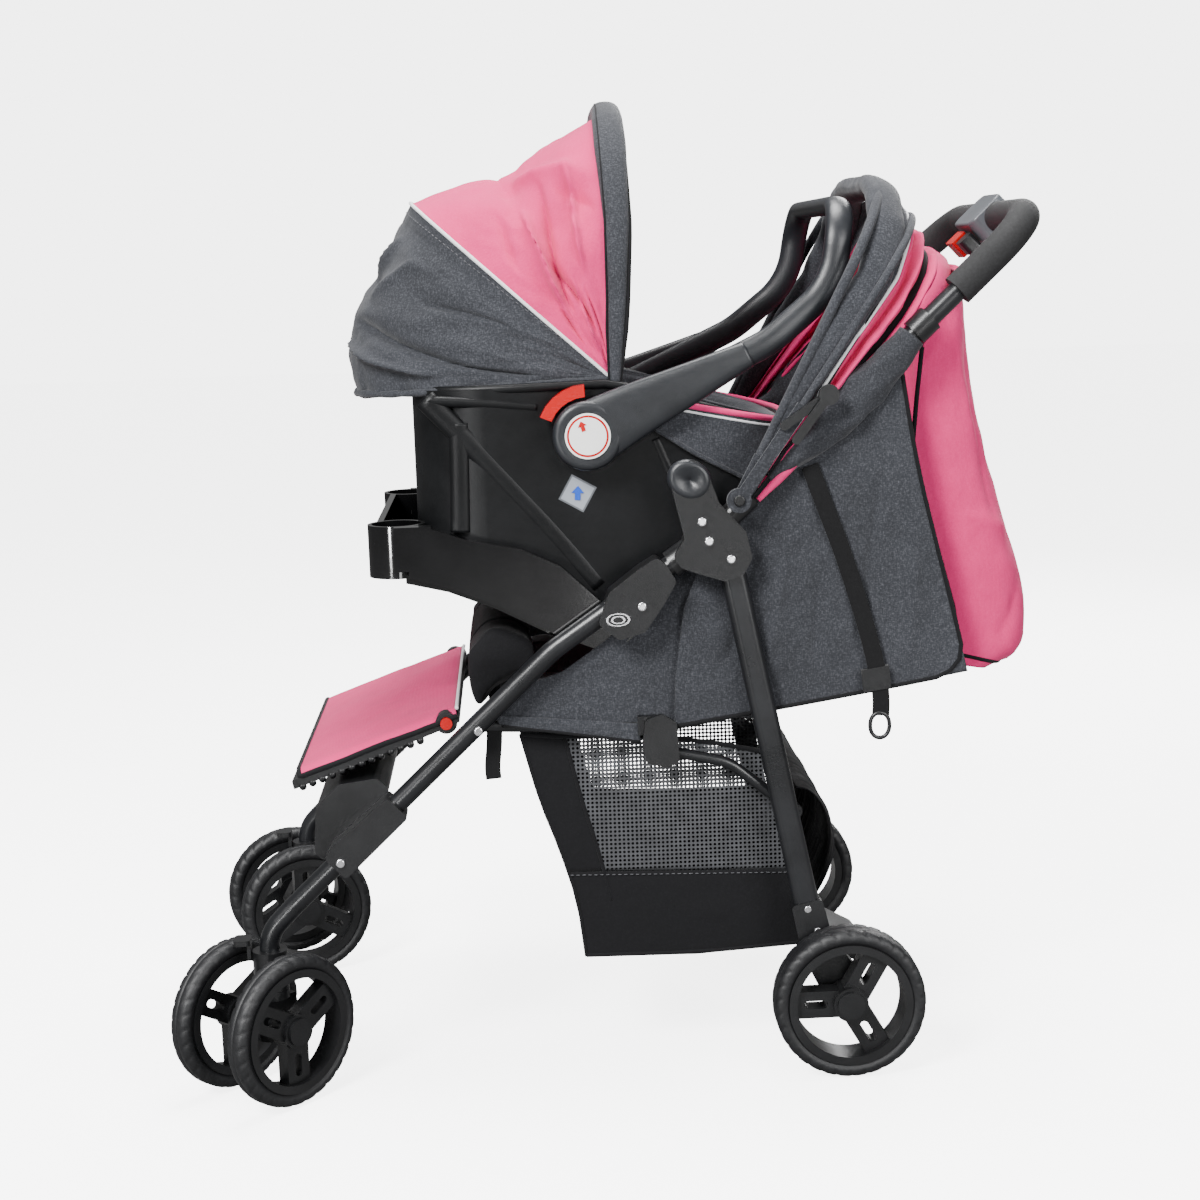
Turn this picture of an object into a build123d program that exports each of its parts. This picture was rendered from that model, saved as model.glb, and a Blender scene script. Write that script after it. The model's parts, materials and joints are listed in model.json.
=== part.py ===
"""Travel-system baby stroller with an infant car seat docked on its tray.

Frame of the model: +Z up, ground at z = 0, +X to the stroller's left side, -Y to the front.
The origin is on the ground, midway along the wheelbase and on the middle plane.
Side-view points are written (y, z) in millimetres.
"""
from build123d import *
import os
from math import atan2, cos, degrees, radians, sin

os.makedirs("parts", exist_ok=True)

# ---------------------------------------------------------------- driving dimensions
WHEEL_RADIUS = 83.0
TUBE_RADIUS = 11.0
TUBE_WALL = 1.5
BORE_GAP = 0.06                 # radial gap of a sleeve on its tube
PIVOT_GAP = 0.05                # radial gap of a pivot hole on its pin
SIDE_GAP = 0.5                  # gap between parts that slide past each other sideways

LEG_X = 215.0                   # middle plane of the front legs and the handle arms
REAR_LEG_X = 220.0              # middle plane of the rear legs
REAR_WHEEL_X = 250.0
REAR_AXLE = (250.0, WHEEL_RADIUS)
STEM_Y = -381.0                 # swivel axis of the casters
CASTER_X = 218.0

HANDLE_PIVOT = (110.0, 594.0)   # fold hinge of the handle
REAR_PIVOT = (133.0, 574.0)     # fold hinge of the rear legs
RAIL_PIVOT = (-143.0, 396.0)    # seat rail on the front leg
RECLINE_PIVOT = (55.0, 387.0)   # backrest on the seat rail's bracket
LINK_TOP = (56.0, 361.0)        # lower link at the bracket
LINK_FOOT = (199.0, 287.0)      # lower link at the rear leg
CANOPY_HUB = (143.0, 636.0)     # stroller canopy pivot on the handle arm
FOOTREST_PIVOT = (-178.0, 400.0)
CARRY_PIVOT = (-14.0, 708.0)    # carry handle of the car seat
SEAT_HOOD_PIVOT = (15.0, 766.0)

SHELL_HALF = 180.0              # half width of the car-seat shell
SEAT_HALF = 176.0               # half width of the stroller seat pads
RAIL_X = 194.0
RAIL_RADIUS = 8.0
NEAR_SWIVEL = -47.0             # swivel of the left caster at rest, degrees
FAR_SWIVEL = -17.0
TRAIL = 15.0                    # axle off the swivel axis
TWIN_OFFSET = 47.0              # twin wheel planes either side of the caster's middle
TWIN_WIDTH = 26.0
REAR_WIDTH = 38.0


def write(part, label):
    """Label one finished piece and write its STEP file."""
    part.label = label
    export_step(part, f"parts/{label}.step")


def at(x, point):
    """Point (y, z) of the side view, at the sideways place x."""
    return (x, point[0], point[1])


def along(start, end, distance):
    """Point (y, z) at a distance from start towards end."""
    run = Vector(end[0] - start[0], end[1] - start[1])
    step = run.normalized() * distance
    return (start[0] + step.X, start[1] + step.Y)


def heading(start, end):
    """Direction in 3-D of the side-view line from start to end."""
    return (0, end[0] - start[0], end[1] - start[1])


def tube(route, radius, wall=None, bend=None):
    """Round tube, or a solid rod with no wall, along a route with rounded corners."""
    with BuildPart() as made:
        with BuildLine() as line:
            if bend:
                FilletPolyline(*route, radius=bend)
            else:
                Polyline(*route)
        with BuildSketch(Plane(origin=line.line @ 0, z_dir=line.line % 0)):
            Circle(radius)
            if wall:
                Circle(radius - wall, mode=Mode.SUBTRACT)
        sweep()
    return made.part


def pin(x_low, x_high, point, radius):
    """Round pin across the stroller, from x_low to x_high."""
    with BuildPart() as made:
        with BuildSketch(Plane.YZ.offset(x_low)):
            with Locations(point):
                Circle(radius)
        extrude(amount=x_high - x_low)
    return made.part


def plate(points, x_low, x_high, corner=0.0):
    """Flat plate of a side-view outline between two sideways places."""
    with BuildPart() as made:
        with BuildSketch(Plane.YZ.offset(x_low)) as outline:
            with BuildLine():
                Polyline(*points, close=True)
            make_face()
            if corner:
                fillet(outline.vertices(), corner)
        extrude(amount=x_high - x_low)
    return made.part


def both_sides(part):
    """The part and its mirror image across the middle plane."""
    with BuildPart() as made:
        add(part)
        mirror(about=Plane.YZ)
    return made.part


def pair(builder_part, label):
    write(both_sides(builder_part), label)


# ---------------------------------------------------------------- front legs
LEG_KNEE = (-60.0, 479.0)
LEG_BEND = (-352.0, 207.0)
LEG_ROUTE = [along(HANDLE_PIVOT, LEG_KNEE, 18), LEG_KNEE, LEG_BEND, (STEM_Y, 178), (STEM_Y, 132)]
LEG_PLACES = [LEG_X, LEG_X, LEG_X, CASTER_X, CASTER_X]

for side, name in ((1, "left"), (-1, "right")):
    route = [at(side * x, point) for x, point in zip(LEG_PLACES, LEG_ROUTE)]
    write(tube(route, TUBE_RADIUS, TUBE_WALL, [120, 45, 40]), f"front_leg_{name}")


def leg_point(distance):
    """Point on the upper straight of the front leg, from the fold hinge down."""
    return along(HANDLE_PIVOT, LEG_KNEE, distance)


def shin_point(distance, offset=0.0):
    """Point on the lower straight of the front leg from its knee, offset square to the leg."""
    run = Vector(LEG_BEND[0] - LEG_KNEE[0], LEG_BEND[1] - LEG_KNEE[1]).normalized()
    base = along(LEG_KNEE, LEG_BEND, distance)
    return (base[0] + run.Y * offset, base[1] - run.X * offset)


# ---------------------------------------------------------------- front yoke and its leg collars
YOKE_HALF = LEG_X - TUBE_RADIUS - SIDE_GAP
yoke_outline = [(-300, 237), (-328, 262), (-324, 314), (-298, 338), (-256, 343), (-243, 330),
                (-254, 300)]
SLEEVE = (238.0, 334.0)
sleeve_block = plate([shin_point(SLEEVE[0], -17), shin_point(SLEEVE[0], 15),
                      shin_point(SLEEVE[1] - 14, 19), shin_point(SLEEVE[1], 15),
                      shin_point(SLEEVE[1], -17)], YOKE_HALF - 8, LEG_X + 16.5, 4)
sleeve_bore = tube([at(LEG_X, shin_point(SLEEVE[0] - 8)), at(LEG_X, shin_point(SLEEVE[1] + 8))],
                   TUBE_RADIUS + BORE_GAP)
with BuildPart() as front_yoke:
    add(plate(yoke_outline, -YOKE_HALF, YOKE_HALF, 9))
    recess_plane = Plane(origin=(0, -314, 285), x_dir=(1, 0, 0), z_dir=(0, -1, 0.08))
    with BuildSketch(recess_plane.offset(20)):
        SlotOverall(250, 46)
    extrude(amount=-24, mode=Mode.SUBTRACT)
    with BuildSketch(Plane.YZ.offset(-YOKE_HALF + 12)):
        with BuildLine():
            Polyline((-296, 252), (-310, 262), (-302, 324), (-262, 330), (-262, 305), close=True)
        make_face()
    extrude(amount=2 * (YOKE_HALF - 12), mode=Mode.SUBTRACT)
    add(sleeve_block)
    add(sleeve_block.mirror(Plane.YZ))
    add(sleeve_bore, mode=Mode.SUBTRACT)
    add(sleeve_bore.mirror(Plane.YZ), mode=Mode.SUBTRACT)
write(front_yoke.part, "front_yoke")

# ---------------------------------------------------------------- fold hinge plates
CHEEK_OUTER = (228.5, 237.0)
CHEEK_INNER = (194.0, 201.5)
cheek_outline = [(84, 598), (72, 650), (78, 676), (96, 682), (110, 668), (122, 634), (150, 602),
                 (156, 574), (146, 556), (126, 550), (96, 560), (80, 566), (72, 578)]
inner_outline = [(84, 594), (98, 612), (122, 612), (150, 590), (152, 566), (136, 552), (112, 556),
                 (94, 558), (80, 566)]
leg_socket = tube([at(LEG_X, leg_point(20)), at(LEG_X, leg_point(48))], 15.5)
leg_socket_bore = tube([at(LEG_X, leg_point(14)), at(LEG_X, leg_point(72))],
                       TUBE_RADIUS + BORE_GAP)
outer_cheek = plate(cheek_outline, *CHEEK_OUTER, 7)
inner_cheek = plate(inner_outline, *CHEEK_INNER, 7)
fold_pin = pin(CHEEK_INNER[0], CHEEK_OUTER[1], HANDLE_PIVOT, 4)
rear_pin = pin(CHEEK_INNER[0], CHEEK_OUTER[1], REAR_PIVOT, 4)
with BuildPart() as hinge_plate:
    add(outer_cheek)
    add(inner_cheek)
    add(leg_socket)
    add(leg_socket_bore, mode=Mode.SUBTRACT)
    add(fold_pin)
    add(rear_pin)
pair(hinge_plate.part, "hinge_plates")


def rivet(x_face, point, radius=5.0, height=3.0):
    """Domed rivet head standing on the face at x_face, outwards."""
    with BuildPart() as made:
        with BuildSketch(Plane.YZ.offset(x_face)):
            with Locations(point):
                Circle(radius)
        extrude(amount=height)
        fillet(made.faces().sort_by(Axis.X)[-1].edges(), height * 0.6)
    return made.part


SOCKET_OUTER = 233.0
with BuildPart() as frame_rivets:
    for spot in (HANDLE_PIVOT, REAR_PIVOT, (103, 615)):
        add(rivet(CHEEK_OUTER[1], spot))
    add(rivet(SOCKET_OUTER, (37, 526)))
    add(rivet(LEG_X + 16.5, shin_point(SLEEVE[1] - 9)))
    add(rivet(LEG_X + TUBE_RADIUS + 0.2, RAIL_PIVOT))
    mirror(about=Plane.YZ)
write(frame_rivets.part, "frame_rivets")

# ---------------------------------------------------------------- tray with two cup holders
TRAY_INNER = 183.0
TRAY_OUTER = 200.0
CUP_RADIUS = 27.0
CUP_WALL = 4.5
CUP_SPOT = (158.0, -224.0)
CUP_LOW, CUP_HIGH = 568.0, 616.0
TRAY_FLOOR = 559.0
TRAY_WALL_Y = -243.0
arm_outline = [(-196, 617), (-144, 599), (-90, 588), (-48, 568), (-6, 528), (36, 484), (26, 468),
               (-8, 474), (-51, 491), (-83, 509), (-115, 527), (-168, 548), (-212, 562)]
tray_arm = plate(arm_outline, TRAY_INNER, TRAY_OUTER, 5)
tray_floor = plate([(-215, 560), (-168, 549), (-115, 528), (-51, 492), (-51, 486), (-118, 521),
                    (-170, 542), (-215, 553)], -TRAY_INNER - 1, TRAY_INNER + 1)
with BuildPart() as tray:
    add(tray_arm)
    add(tray_arm.mirror(Plane.YZ))
    add(tray_floor)
    with BuildSketch(Plane.XY.offset(TRAY_FLOOR)):
        for side in (1, -1):
            with Locations((side * CUP_SPOT[0], CUP_SPOT[1])):
                Circle(CUP_RADIUS + CUP_WALL)
        with Locations((0, TRAY_WALL_Y + 20)):
            Rectangle(2 * CUP_SPOT[0], 47)
    extrude(amount=CUP_LOW - TRAY_FLOOR)
    with BuildSketch(Plane.XY.offset(CUP_LOW)):
        for side in (1, -1):
            with Locations((side * CUP_SPOT[0], CUP_SPOT[1])):
                Circle(CUP_RADIUS + CUP_WALL)
            with Locations((side * (TRAY_INNER + 8.5), -205)):
                Rectangle(17, 40)
        with Locations((0, TRAY_WALL_Y)):
            Rectangle(2 * CUP_SPOT[0], 7)
    extrude(amount=CUP_HIGH - CUP_LOW)
    with BuildSketch(Plane.XY.offset(CUP_LOW)):
        for side in (1, -1):
            with Locations((side * CUP_SPOT[0], CUP_SPOT[1])):
                Circle(CUP_RADIUS)
    extrude(amount=CUP_HIGH - CUP_LOW + 5, mode=Mode.SUBTRACT)
write(tray.part, "tray")

socket_outline = [(-10, 508), (2, 542), (34, 566), (54, 578), (64, 570), (75, 551), (60, 526),
                  (40, 498), (12, 490)]
socket_block = plate(socket_outline, TRAY_OUTER + SIDE_GAP, SOCKET_OUTER, 6)
socket_bore = tube([at(LEG_X, leg_point(20)), at(LEG_X, leg_point(190))], TUBE_RADIUS + BORE_GAP)
with BuildPart() as tray_socket:
    add(socket_block)
    add(socket_bore, mode=Mode.SUBTRACT)
pair(tray_socket.part, "tray_sockets")

# ---------------------------------------------------------------- caster housings
HOUSING_LOW, HOUSING_HIGH = 116.0, 172.0
LEVER_LOW = 168.0
LEVER_REACH = 29.0
with BuildPart() as housing:
    with BuildSketch(Plane.XY.offset(HOUSING_LOW)):
        with Locations((CASTER_X, STEM_Y)):
            Circle(19)
    extrude(amount=HOUSING_HIGH - 12 - HOUSING_LOW)
    with BuildSketch(Plane.XY.offset(HOUSING_LOW + 16)):
        with Locations((CASTER_X, STEM_Y)):
            Circle(TUBE_RADIUS + BORE_GAP)
    extrude(amount=60, mode=Mode.SUBTRACT)
    with BuildSketch(Plane.XY.offset(HOUSING_LOW)):
        with Locations((CASTER_X, STEM_Y)):
            Circle(6 + PIVOT_GAP)
    extrude(amount=14, mode=Mode.SUBTRACT)
pair(housing.part, "caster_housings")


# ---------------------------------------------------------------- wheels
def tyre(centre, axle, radius, width, bore):
    """Tyre as a ring with rounded shoulders."""
    with BuildPart() as made:
        with BuildSketch(Plane(origin=centre, z_dir=axle)):
            Circle(radius)
            Circle(bore, mode=Mode.SUBTRACT)
        extrude(amount=width / 2, both=True)
        fillet(made.edges().filter_by(GeomType.CIRCLE).sort_by(SortBy.RADIUS)[-2:], 7)
    return made.part


def rim(centre, axle, radius, width, axle_radius, cap=3.0):
    """Rim with a hub, three slotted spokes and a raised hub cap."""
    face = Plane(origin=centre, z_dir=axle)
    with BuildPart() as made:
        with BuildSketch(face):
            Circle(radius)
            Circle(radius - 9, mode=Mode.SUBTRACT)
        extrude(amount=width / 2, both=True)
        with BuildSketch(face):
            Circle(19)
            with PolarLocations(radius / 2, 3, start_angle=90):
                Rectangle(radius - 4, 30)
            with PolarLocations(radius / 2 + 4, 3, start_angle=90):
                SlotOverall(26, 9, mode=Mode.SUBTRACT)
        extrude(amount=width * 0.3, both=True)
        with BuildSketch(face):
            Circle(19)
        extrude(amount=width / 2 - 1, both=True)
        with BuildSketch(face):
            Circle(axle_radius + PIVOT_GAP)
        extrude(amount=width, both=True, mode=Mode.SUBTRACT)
        with BuildSketch(face.offset(width / 2 - 2)):
            Circle(15)
        extrude(amount=cap + 1)
    return made.part


TYRE_BORE = WHEEL_RADIUS - 15
RIM_RADIUS = TYRE_BORE - 0.1

# ---------------------------------------------------------------- front casters
for side, name, swivel in ((1, "left", NEAR_SWIVEL), (-1, "right", FAR_SWIVEL)):
    turn = radians(swivel)
    axle_dir = Vector(cos(turn), -sin(turn), 0) * side
    trail_dir = Vector(-sin(turn), -cos(turn), 0)
    stem = Vector(side * CASTER_X, STEM_Y, 0)
    axle_mid = stem + trail_dir * TRAIL + Vector(0, 0, WHEEL_RADIUS)
    level = Plane(origin=stem, x_dir=axle_dir, z_dir=(0, 0, 1))
    upright = Plane(origin=stem - axle_dir * 13, x_dir=trail_dir, z_dir=axle_dir)
    rise = 1 if upright.y_dir.Z > 0 else -1
    with BuildPart() as fork:
        with BuildSketch(upright):
            with BuildLine():
                Polyline((-22, rise * 108), (20, rise * 108), (34, rise * 84), (30, rise * 66),
                         (TRAIL, rise * 60), (2, rise * 68), (-22, rise * 92), close=True)
            make_face()
        extrude(amount=26)
        with BuildSketch(level.offset(106)):
            Circle(19)
        extrude(amount=HOUSING_LOW - 0.5 - 106)
        with BuildSketch(level.offset(106)):
            Circle(6)
        extrude(amount=HOUSING_LOW + 13 - 106)
        with BuildSketch(Plane(origin=axle_mid, z_dir=axle_dir)):
            Circle(5)
        extrude(amount=TWIN_OFFSET + TWIN_WIDTH / 2 - 4, both=True)
    write(fork.part, f"caster_fork_{name}")
    wheels = [axle_mid + axle_dir * TWIN_OFFSET * end for end in (1, -1)]
    with BuildPart() as tyres:
        for end, centre in zip((1, -1), wheels):
            add(tyre(centre, axle_dir * end, WHEEL_RADIUS, TWIN_WIDTH, TYRE_BORE))
    write(tyres.part, f"front_tyres_{name}")
    with BuildPart() as rims:
        for end, centre in zip((1, -1), wheels):
            add(rim(centre, axle_dir * end, RIM_RADIUS, TWIN_WIDTH, 5))
    write(rims.part, f"front_rims_{name}")
    # swivel lock: a small flap on the front of the caster housing
    with BuildPart() as lever:
        with BuildSketch(Plane.XY.offset(LEVER_LOW)):
            with Locations((side * CASTER_X, STEM_Y - LEVER_REACH)):
                RectangleRounded(24, 18, 4)
        extrude(amount=6)
        with BuildSketch(Plane.XY.offset(LEVER_LOW - 16)):
            with Locations((side * CASTER_X, STEM_Y - LEVER_REACH + 7)):
                Rectangle(15, 4)
        extrude(amount=18)
    write(lever.part, f"caster_lever_{name}")

# ---------------------------------------------------------------- rear legs, axle and wheels
REAR_FOOT = (216.0, 150.0)
REAR_SECTION = (28.0, 16.0)
REAR_INNER = REAR_LEG_X - REAR_SECTION[1] / 2
leg_plane = Plane(origin=at(REAR_LEG_X, REAR_PIVOT), x_dir=(1, 0, 0),
                  z_dir=heading(REAR_PIVOT, REAR_FOOT))
with BuildPart() as rear_leg:
    with BuildSketch(leg_plane):
        SlotOverall(REAR_SECTION[0], REAR_SECTION[1], rotation=90)
        SlotOverall(REAR_SECTION[0] - 3, REAR_SECTION[1] - 3, rotation=90, mode=Mode.SUBTRACT)
    extrude(amount=Vector(*heading(REAR_PIVOT, REAR_FOOT)).length)
    with BuildSketch(Plane.YZ.offset(REAR_LEG_X)):
        with Locations(REAR_PIVOT):
            Circle(REAR_SECTION[0] / 2)
    extrude(amount=REAR_SECTION[1] / 2, both=True)
    with BuildSketch(Plane.YZ.offset(REAR_LEG_X)):
        with Locations(REAR_PIVOT):
            Circle(4 + PIVOT_GAP)
    extrude(amount=REAR_SECTION[1], both=True, mode=Mode.SUBTRACT)
pair(rear_leg.part, "rear_legs")

for side, name in ((1, "left"), (-1, "right")):
    wheel_centre = at(side * REAR_WHEEL_X, REAR_AXLE)
    write(tyre(wheel_centre, (side, 0, 0), WHEEL_RADIUS, REAR_WIDTH, TYRE_BORE),
          f"rear_tyre_{name}")
    write(rim(wheel_centre, (side, 0, 0), RIM_RADIUS, REAR_WIDTH, 6), f"rear_rim_{name}")

foot_top = along(REAR_FOOT, REAR_PIVOT, 40)
foot_outline = [(foot_top[0] - 17, foot_top[1] - 4), (foot_top[0] + 17, foot_top[1] + 3),
                (REAR_FOOT[0] + 20, 148), (268, 104), (270, 70), (252, 62), (232, 68),
                (REAR_FOOT[0] - 14, 130)]
foot_block = plate(foot_outline, REAR_LEG_X - 10.5, REAR_LEG_X + 9.5, 5)
foot_pocket_plane = Plane(origin=at(REAR_LEG_X, REAR_FOOT), x_dir=(1, 0, 0),
                          z_dir=heading(REAR_FOOT, REAR_PIVOT))
with BuildPart() as rear_foot:
    add(foot_block)
    with BuildSketch(foot_pocket_plane):
        SlotOverall(REAR_SECTION[0] + 0.2, REAR_SECTION[1] + 0.2, rotation=90)
    extrude(amount=60, mode=Mode.SUBTRACT)
    with BuildSketch(Plane.YZ.offset(REAR_LEG_X)):
        with Locations(REAR_AXLE):
            Circle(8 + BORE_GAP)
    extrude(amount=30, both=True, mode=Mode.SUBTRACT)
pair(rear_foot.part, "rear_feet")

with BuildPart() as rear_axle:
    with BuildSketch(Plane.YZ):
        with Locations(REAR_AXLE):
            Circle(8)
    extrude(amount=REAR_WHEEL_X - REAR_WIDTH / 2 - 0.6, both=True)
    with BuildSketch(Plane.YZ):
        with Locations(REAR_AXLE):
            Circle(6)
    extrude(amount=REAR_WHEEL_X + REAR_WIDTH / 2 - 4, both=True)
write(rear_axle.part, "rear_axle")

BRAKE_GAP = 0.3
with BuildPart() as brake_pedal:
    with BuildSketch(Plane.YZ.offset(-60)):
        with Locations(REAR_AXLE):
            Circle(14)
        with BuildLine():
            Polyline((256, 72), (300, 58), (306, 64), (300, 72), (256, 96), close=True)
        make_face()
        with Locations(REAR_AXLE):
            Circle(8 + BRAKE_GAP, mode=Mode.SUBTRACT)
    extrude(amount=120)
write(brake_pedal.part, "brake_pedal")

with BuildPart() as rear_rivets:
    for spot in ((foot_top[0] + 1, foot_top[1] - 8), (REAR_FOOT[0] + 4, REAR_FOOT[1] + 6)):
        add(rivet(REAR_LEG_X + 9.5, spot, 4, 1.4))
    mirror(about=Plane.YZ)
write(rear_rivets.part, "rear_rivets")

# ---------------------------------------------------------------- seat rails, brackets and links
rail_front = along(RAIL_PIVOT, RECLINE_PIVOT, 2)
rail_rear = along(RECLINE_PIVOT, RAIL_PIVOT, 14)
pair(tube([at(RAIL_X, rail_front), at(RAIL_X, rail_rear)], RAIL_RADIUS, TUBE_WALL),
     "seat_rails")

BRACKET_X = (210.0, 216.0)
bracket_outline = [(34, 372), (38, 398), (56, 404), (72, 394), (74, 350), (60, 344), (38, 350)]
with BuildPart() as bracket:
    add(plate(bracket_outline, *BRACKET_X, 6))
    add(pin(RAIL_X - RAIL_RADIUS, BRACKET_X[1], RECLINE_PIVOT, 5))
    add(plate([(30, 380), (41, 381), (41, 397), (30, 398)], RAIL_X + RAIL_RADIUS + 0.3,
              BRACKET_X[0] + 1))
    add(plate([(30, 396.5), (50, 396.5), (50, 401), (30, 401)], RAIL_X - RAIL_RADIUS,
              BRACKET_X[0] + 1))
pair(bracket.part, "seat_brackets")

LINK_X = 203.0
LINK_RADIUS = 6.0
link_stop = along(LINK_TOP, (130, 345), 12)
link_route = [at(LINK_X, LINK_FOOT), at(LINK_X, (128, 345)), at(LINK_X, link_stop)]
link_tube = tube(link_route, LINK_RADIUS, bend=60)
with BuildPart() as link:
    add(tube(link_route, LINK_RADIUS, bend=60))
    add(pin(LINK_X - LINK_RADIUS - 0.5, LINK_X + LINK_RADIUS + 0.5, LINK_FOOT, 9))
pair(link.part, "link_tubes")


# ---------------------------------------------------------------- arches: handle and canopy bows
def arch(foot, top, low_half, top_half, corner, radius, wall=None, start=0.0):
    """Tube bent to an arch in the sloping plane through the side-view points foot and top."""
    low = along(foot, top, start)
    route = [at(low_half, low), at(top_half, top), at(-top_half, top), at(-low_half, low)]
    return tube(route, radius, wall, corner)


HANDLE_TOP = (466.0, 925.0)
HANDLE_CORNER = 62.0
write(arch(HANDLE_PIVOT, HANDLE_TOP, LEG_X, LEG_X - 8, HANDLE_CORNER, TUBE_RADIUS, TUBE_WALL,
           start=18), "handle_tube")


def handle_point(distance):
    return along(HANDLE_PIVOT, HANDLE_TOP, distance)


HANDLE_LENGTH = Vector(*heading(HANDLE_PIVOT, HANDLE_TOP)).length


def handle_x(distance):
    """Sideways place of the handle arm, which closes in by 8 mm towards the top."""
    return LEG_X - 8 * (distance - 18) / (HANDLE_LENGTH - 18)


knuckle_socket = tube([at(handle_x(8), handle_point(8)), at(handle_x(64), handle_point(64))], 13)
arm_bore = tube([at(handle_x(17), handle_point(17)), at(handle_x(90), handle_point(90))],
                TUBE_RADIUS + BORE_GAP)
with BuildPart() as knuckle:
    add(pin(LEG_X - 10, LEG_X + 10, HANDLE_PIVOT, 13))
    add(knuckle_socket)
    add(arm_bore, mode=Mode.SUBTRACT)
    add(pin(LEG_X - 20, LEG_X + 20, HANDLE_PIVOT, 4 + PIVOT_GAP), mode=Mode.SUBTRACT)
pair(knuckle.part, "handle_knuckles")

collar_solid = tube([at(handle_x(308), handle_point(308)), at(handle_x(332), handle_point(332))],
                    15)
collar_bore = tube([at(handle_x(300), handle_point(300)), at(handle_x(340), handle_point(340))],
                   TUBE_RADIUS + BORE_GAP)
with BuildPart() as collar:
    add(collar_solid)
    add(collar_bore, mode=Mode.SUBTRACT)
pair(collar.part, "handle_collars")

GRIP_START = 372.0
HOUSING_HALF = 44.0
grip_route = [at(handle_x(GRIP_START), handle_point(GRIP_START)),
              at(handle_x(HANDLE_LENGTH), HANDLE_TOP), at(HOUSING_HALF + 1, HANDLE_TOP)]
with BuildPart() as grip:
    with BuildLine() as grip_line:
        FilletPolyline(*grip_route, radius=HANDLE_CORNER)
    with BuildSketch(Plane(origin=grip_line.line @ 0, z_dir=grip_line.line % 0)):
        Circle(17.5)
        Circle(TUBE_RADIUS + BORE_GAP, mode=Mode.SUBTRACT)
    sweep()
pair(grip.part, "foam_grips")

HANDLE_PLANE = Plane(origin=at(0, HANDLE_TOP), x_dir=(1, 0, 0),
                     z_dir=Vector(1, 0, 0).cross(Vector(*heading(HANDLE_PIVOT, HANDLE_TOP))))
with BuildPart() as fold_housing:
    with BuildSketch(HANDLE_PLANE.offset(-19)):
        with Locations((0, -6)):
            RectangleRounded(2 * HOUSING_HALF, 50, 12)
    extrude(amount=38)
    fillet(fold_housing.faces().sort_by(Axis.Z)[-1].edges(), 3)
    with BuildSketch(Plane.YZ.offset(-60)):
        with Locations(HANDLE_TOP):
            Circle(TUBE_RADIUS + BORE_GAP)
    extrude(amount=120, mode=Mode.SUBTRACT)
write(fold_housing.part, "fold_housing")

with BuildPart() as fold_slider:
    with BuildSketch(HANDLE_PLANE.offset(-11)):
        with Locations((-10, -44)):
            RectangleRounded(38, 20, 4)
    extrude(amount=22)
write(fold_slider.part, "fold_slider")

with BuildPart() as fold_trigger:
    with BuildSketch(HANDLE_PLANE.offset(-9)):
        with Locations((26, -43)):
            RectangleRounded(26, 18, 5)
    extrude(amount=18)
write(fold_trigger.part, "fold_trigger")

# ---------------------------------------------------------------- stroller canopy, folded back
BOW_TOP = (316.0, 962.0)
REAR_BOW_TOP = (382.0, 884.0)
MID_BOW_TOP = (352.0, 928.0)
HUB_X = (230.5, 239.0)


def canopy_arm(top, reach):
    """Flat arm from the hub towards a bow's top."""
    end = along(CANOPY_HUB, top, reach)
    side = Vector(*heading(CANOPY_HUB, top)).normalized()
    across = (-side.Z * 7, side.Y * 7)
    return [(CANOPY_HUB[0] + across[0], CANOPY_HUB[1] + across[1]),
            (end[0] + across[0], end[1] + across[1]),
            (end[0] - across[0], end[1] - across[1]),
            (CANOPY_HUB[0] - across[0], CANOPY_HUB[1] - across[1])]


BOW_START = 52.0
hub_hole = pin(HUB_X[0] - 1, HUB_X[1] + 1, CANOPY_HUB, 4 + PIVOT_GAP)
with BuildPart() as front_bow:
    add(arch(CANOPY_HUB, BOW_TOP, HUB_X[0] - 1.8, 205, 120, 5.5, start=BOW_START - 6))
    for arm_side in (1, -1):
        low, high = sorted((arm_side * HUB_X[0], arm_side * (HUB_X[0] + 3.8)))
        add(plate(canopy_arm(BOW_TOP, BOW_START), low, high))
        add(pin(low, high, CANOPY_HUB, 13))
        add(pin(low - 1, high + 1, CANOPY_HUB, 4 + PIVOT_GAP), mode=Mode.SUBTRACT)
write(front_bow.part, "canopy_bow_front")

with BuildPart() as mid_bow:
    add(arch(CANOPY_HUB, MID_BOW_TOP, HUB_X[0] + 4.6, 199, 115, 4.5, start=112))
    for arm_side in (1, -1):
        low, high = sorted((arm_side * (HUB_X[0] + 4.4), arm_side * HUB_X[1]))
        add(plate(canopy_arm(MID_BOW_TOP, 120), low, high))
        add(pin(low, high, CANOPY_HUB, 13))
        add(pin(low - 1, high + 1, CANOPY_HUB, 4 + PIVOT_GAP), mode=Mode.SUBTRACT)
write(mid_bow.part, "canopy_bow_middle")

with BuildPart() as canopy_hub:
    add(pin(LEG_X + 13.2, HUB_X[0] - 0.3, CANOPY_HUB, 11))
    add(pin(LEG_X + 13.2, HUB_X[1] + 0.2, CANOPY_HUB, 4))
    add(rivet(HUB_X[1] + 0.2, CANOPY_HUB, 6, 2.6))
pair(canopy_hub.part, "canopy_hubs")

# over-centre stays: two short links that fold up between the front bow and the handle arm
STAY_BOW = (192.0, 714.0)
STAY_HANDLE = (204.0, 699.0)
STAY_MIDDLE = (239.0, 745.0)
STAY_OUTER = (243.6, 246.6)
STAY_INNER = (240.0, 243.0)


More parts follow.
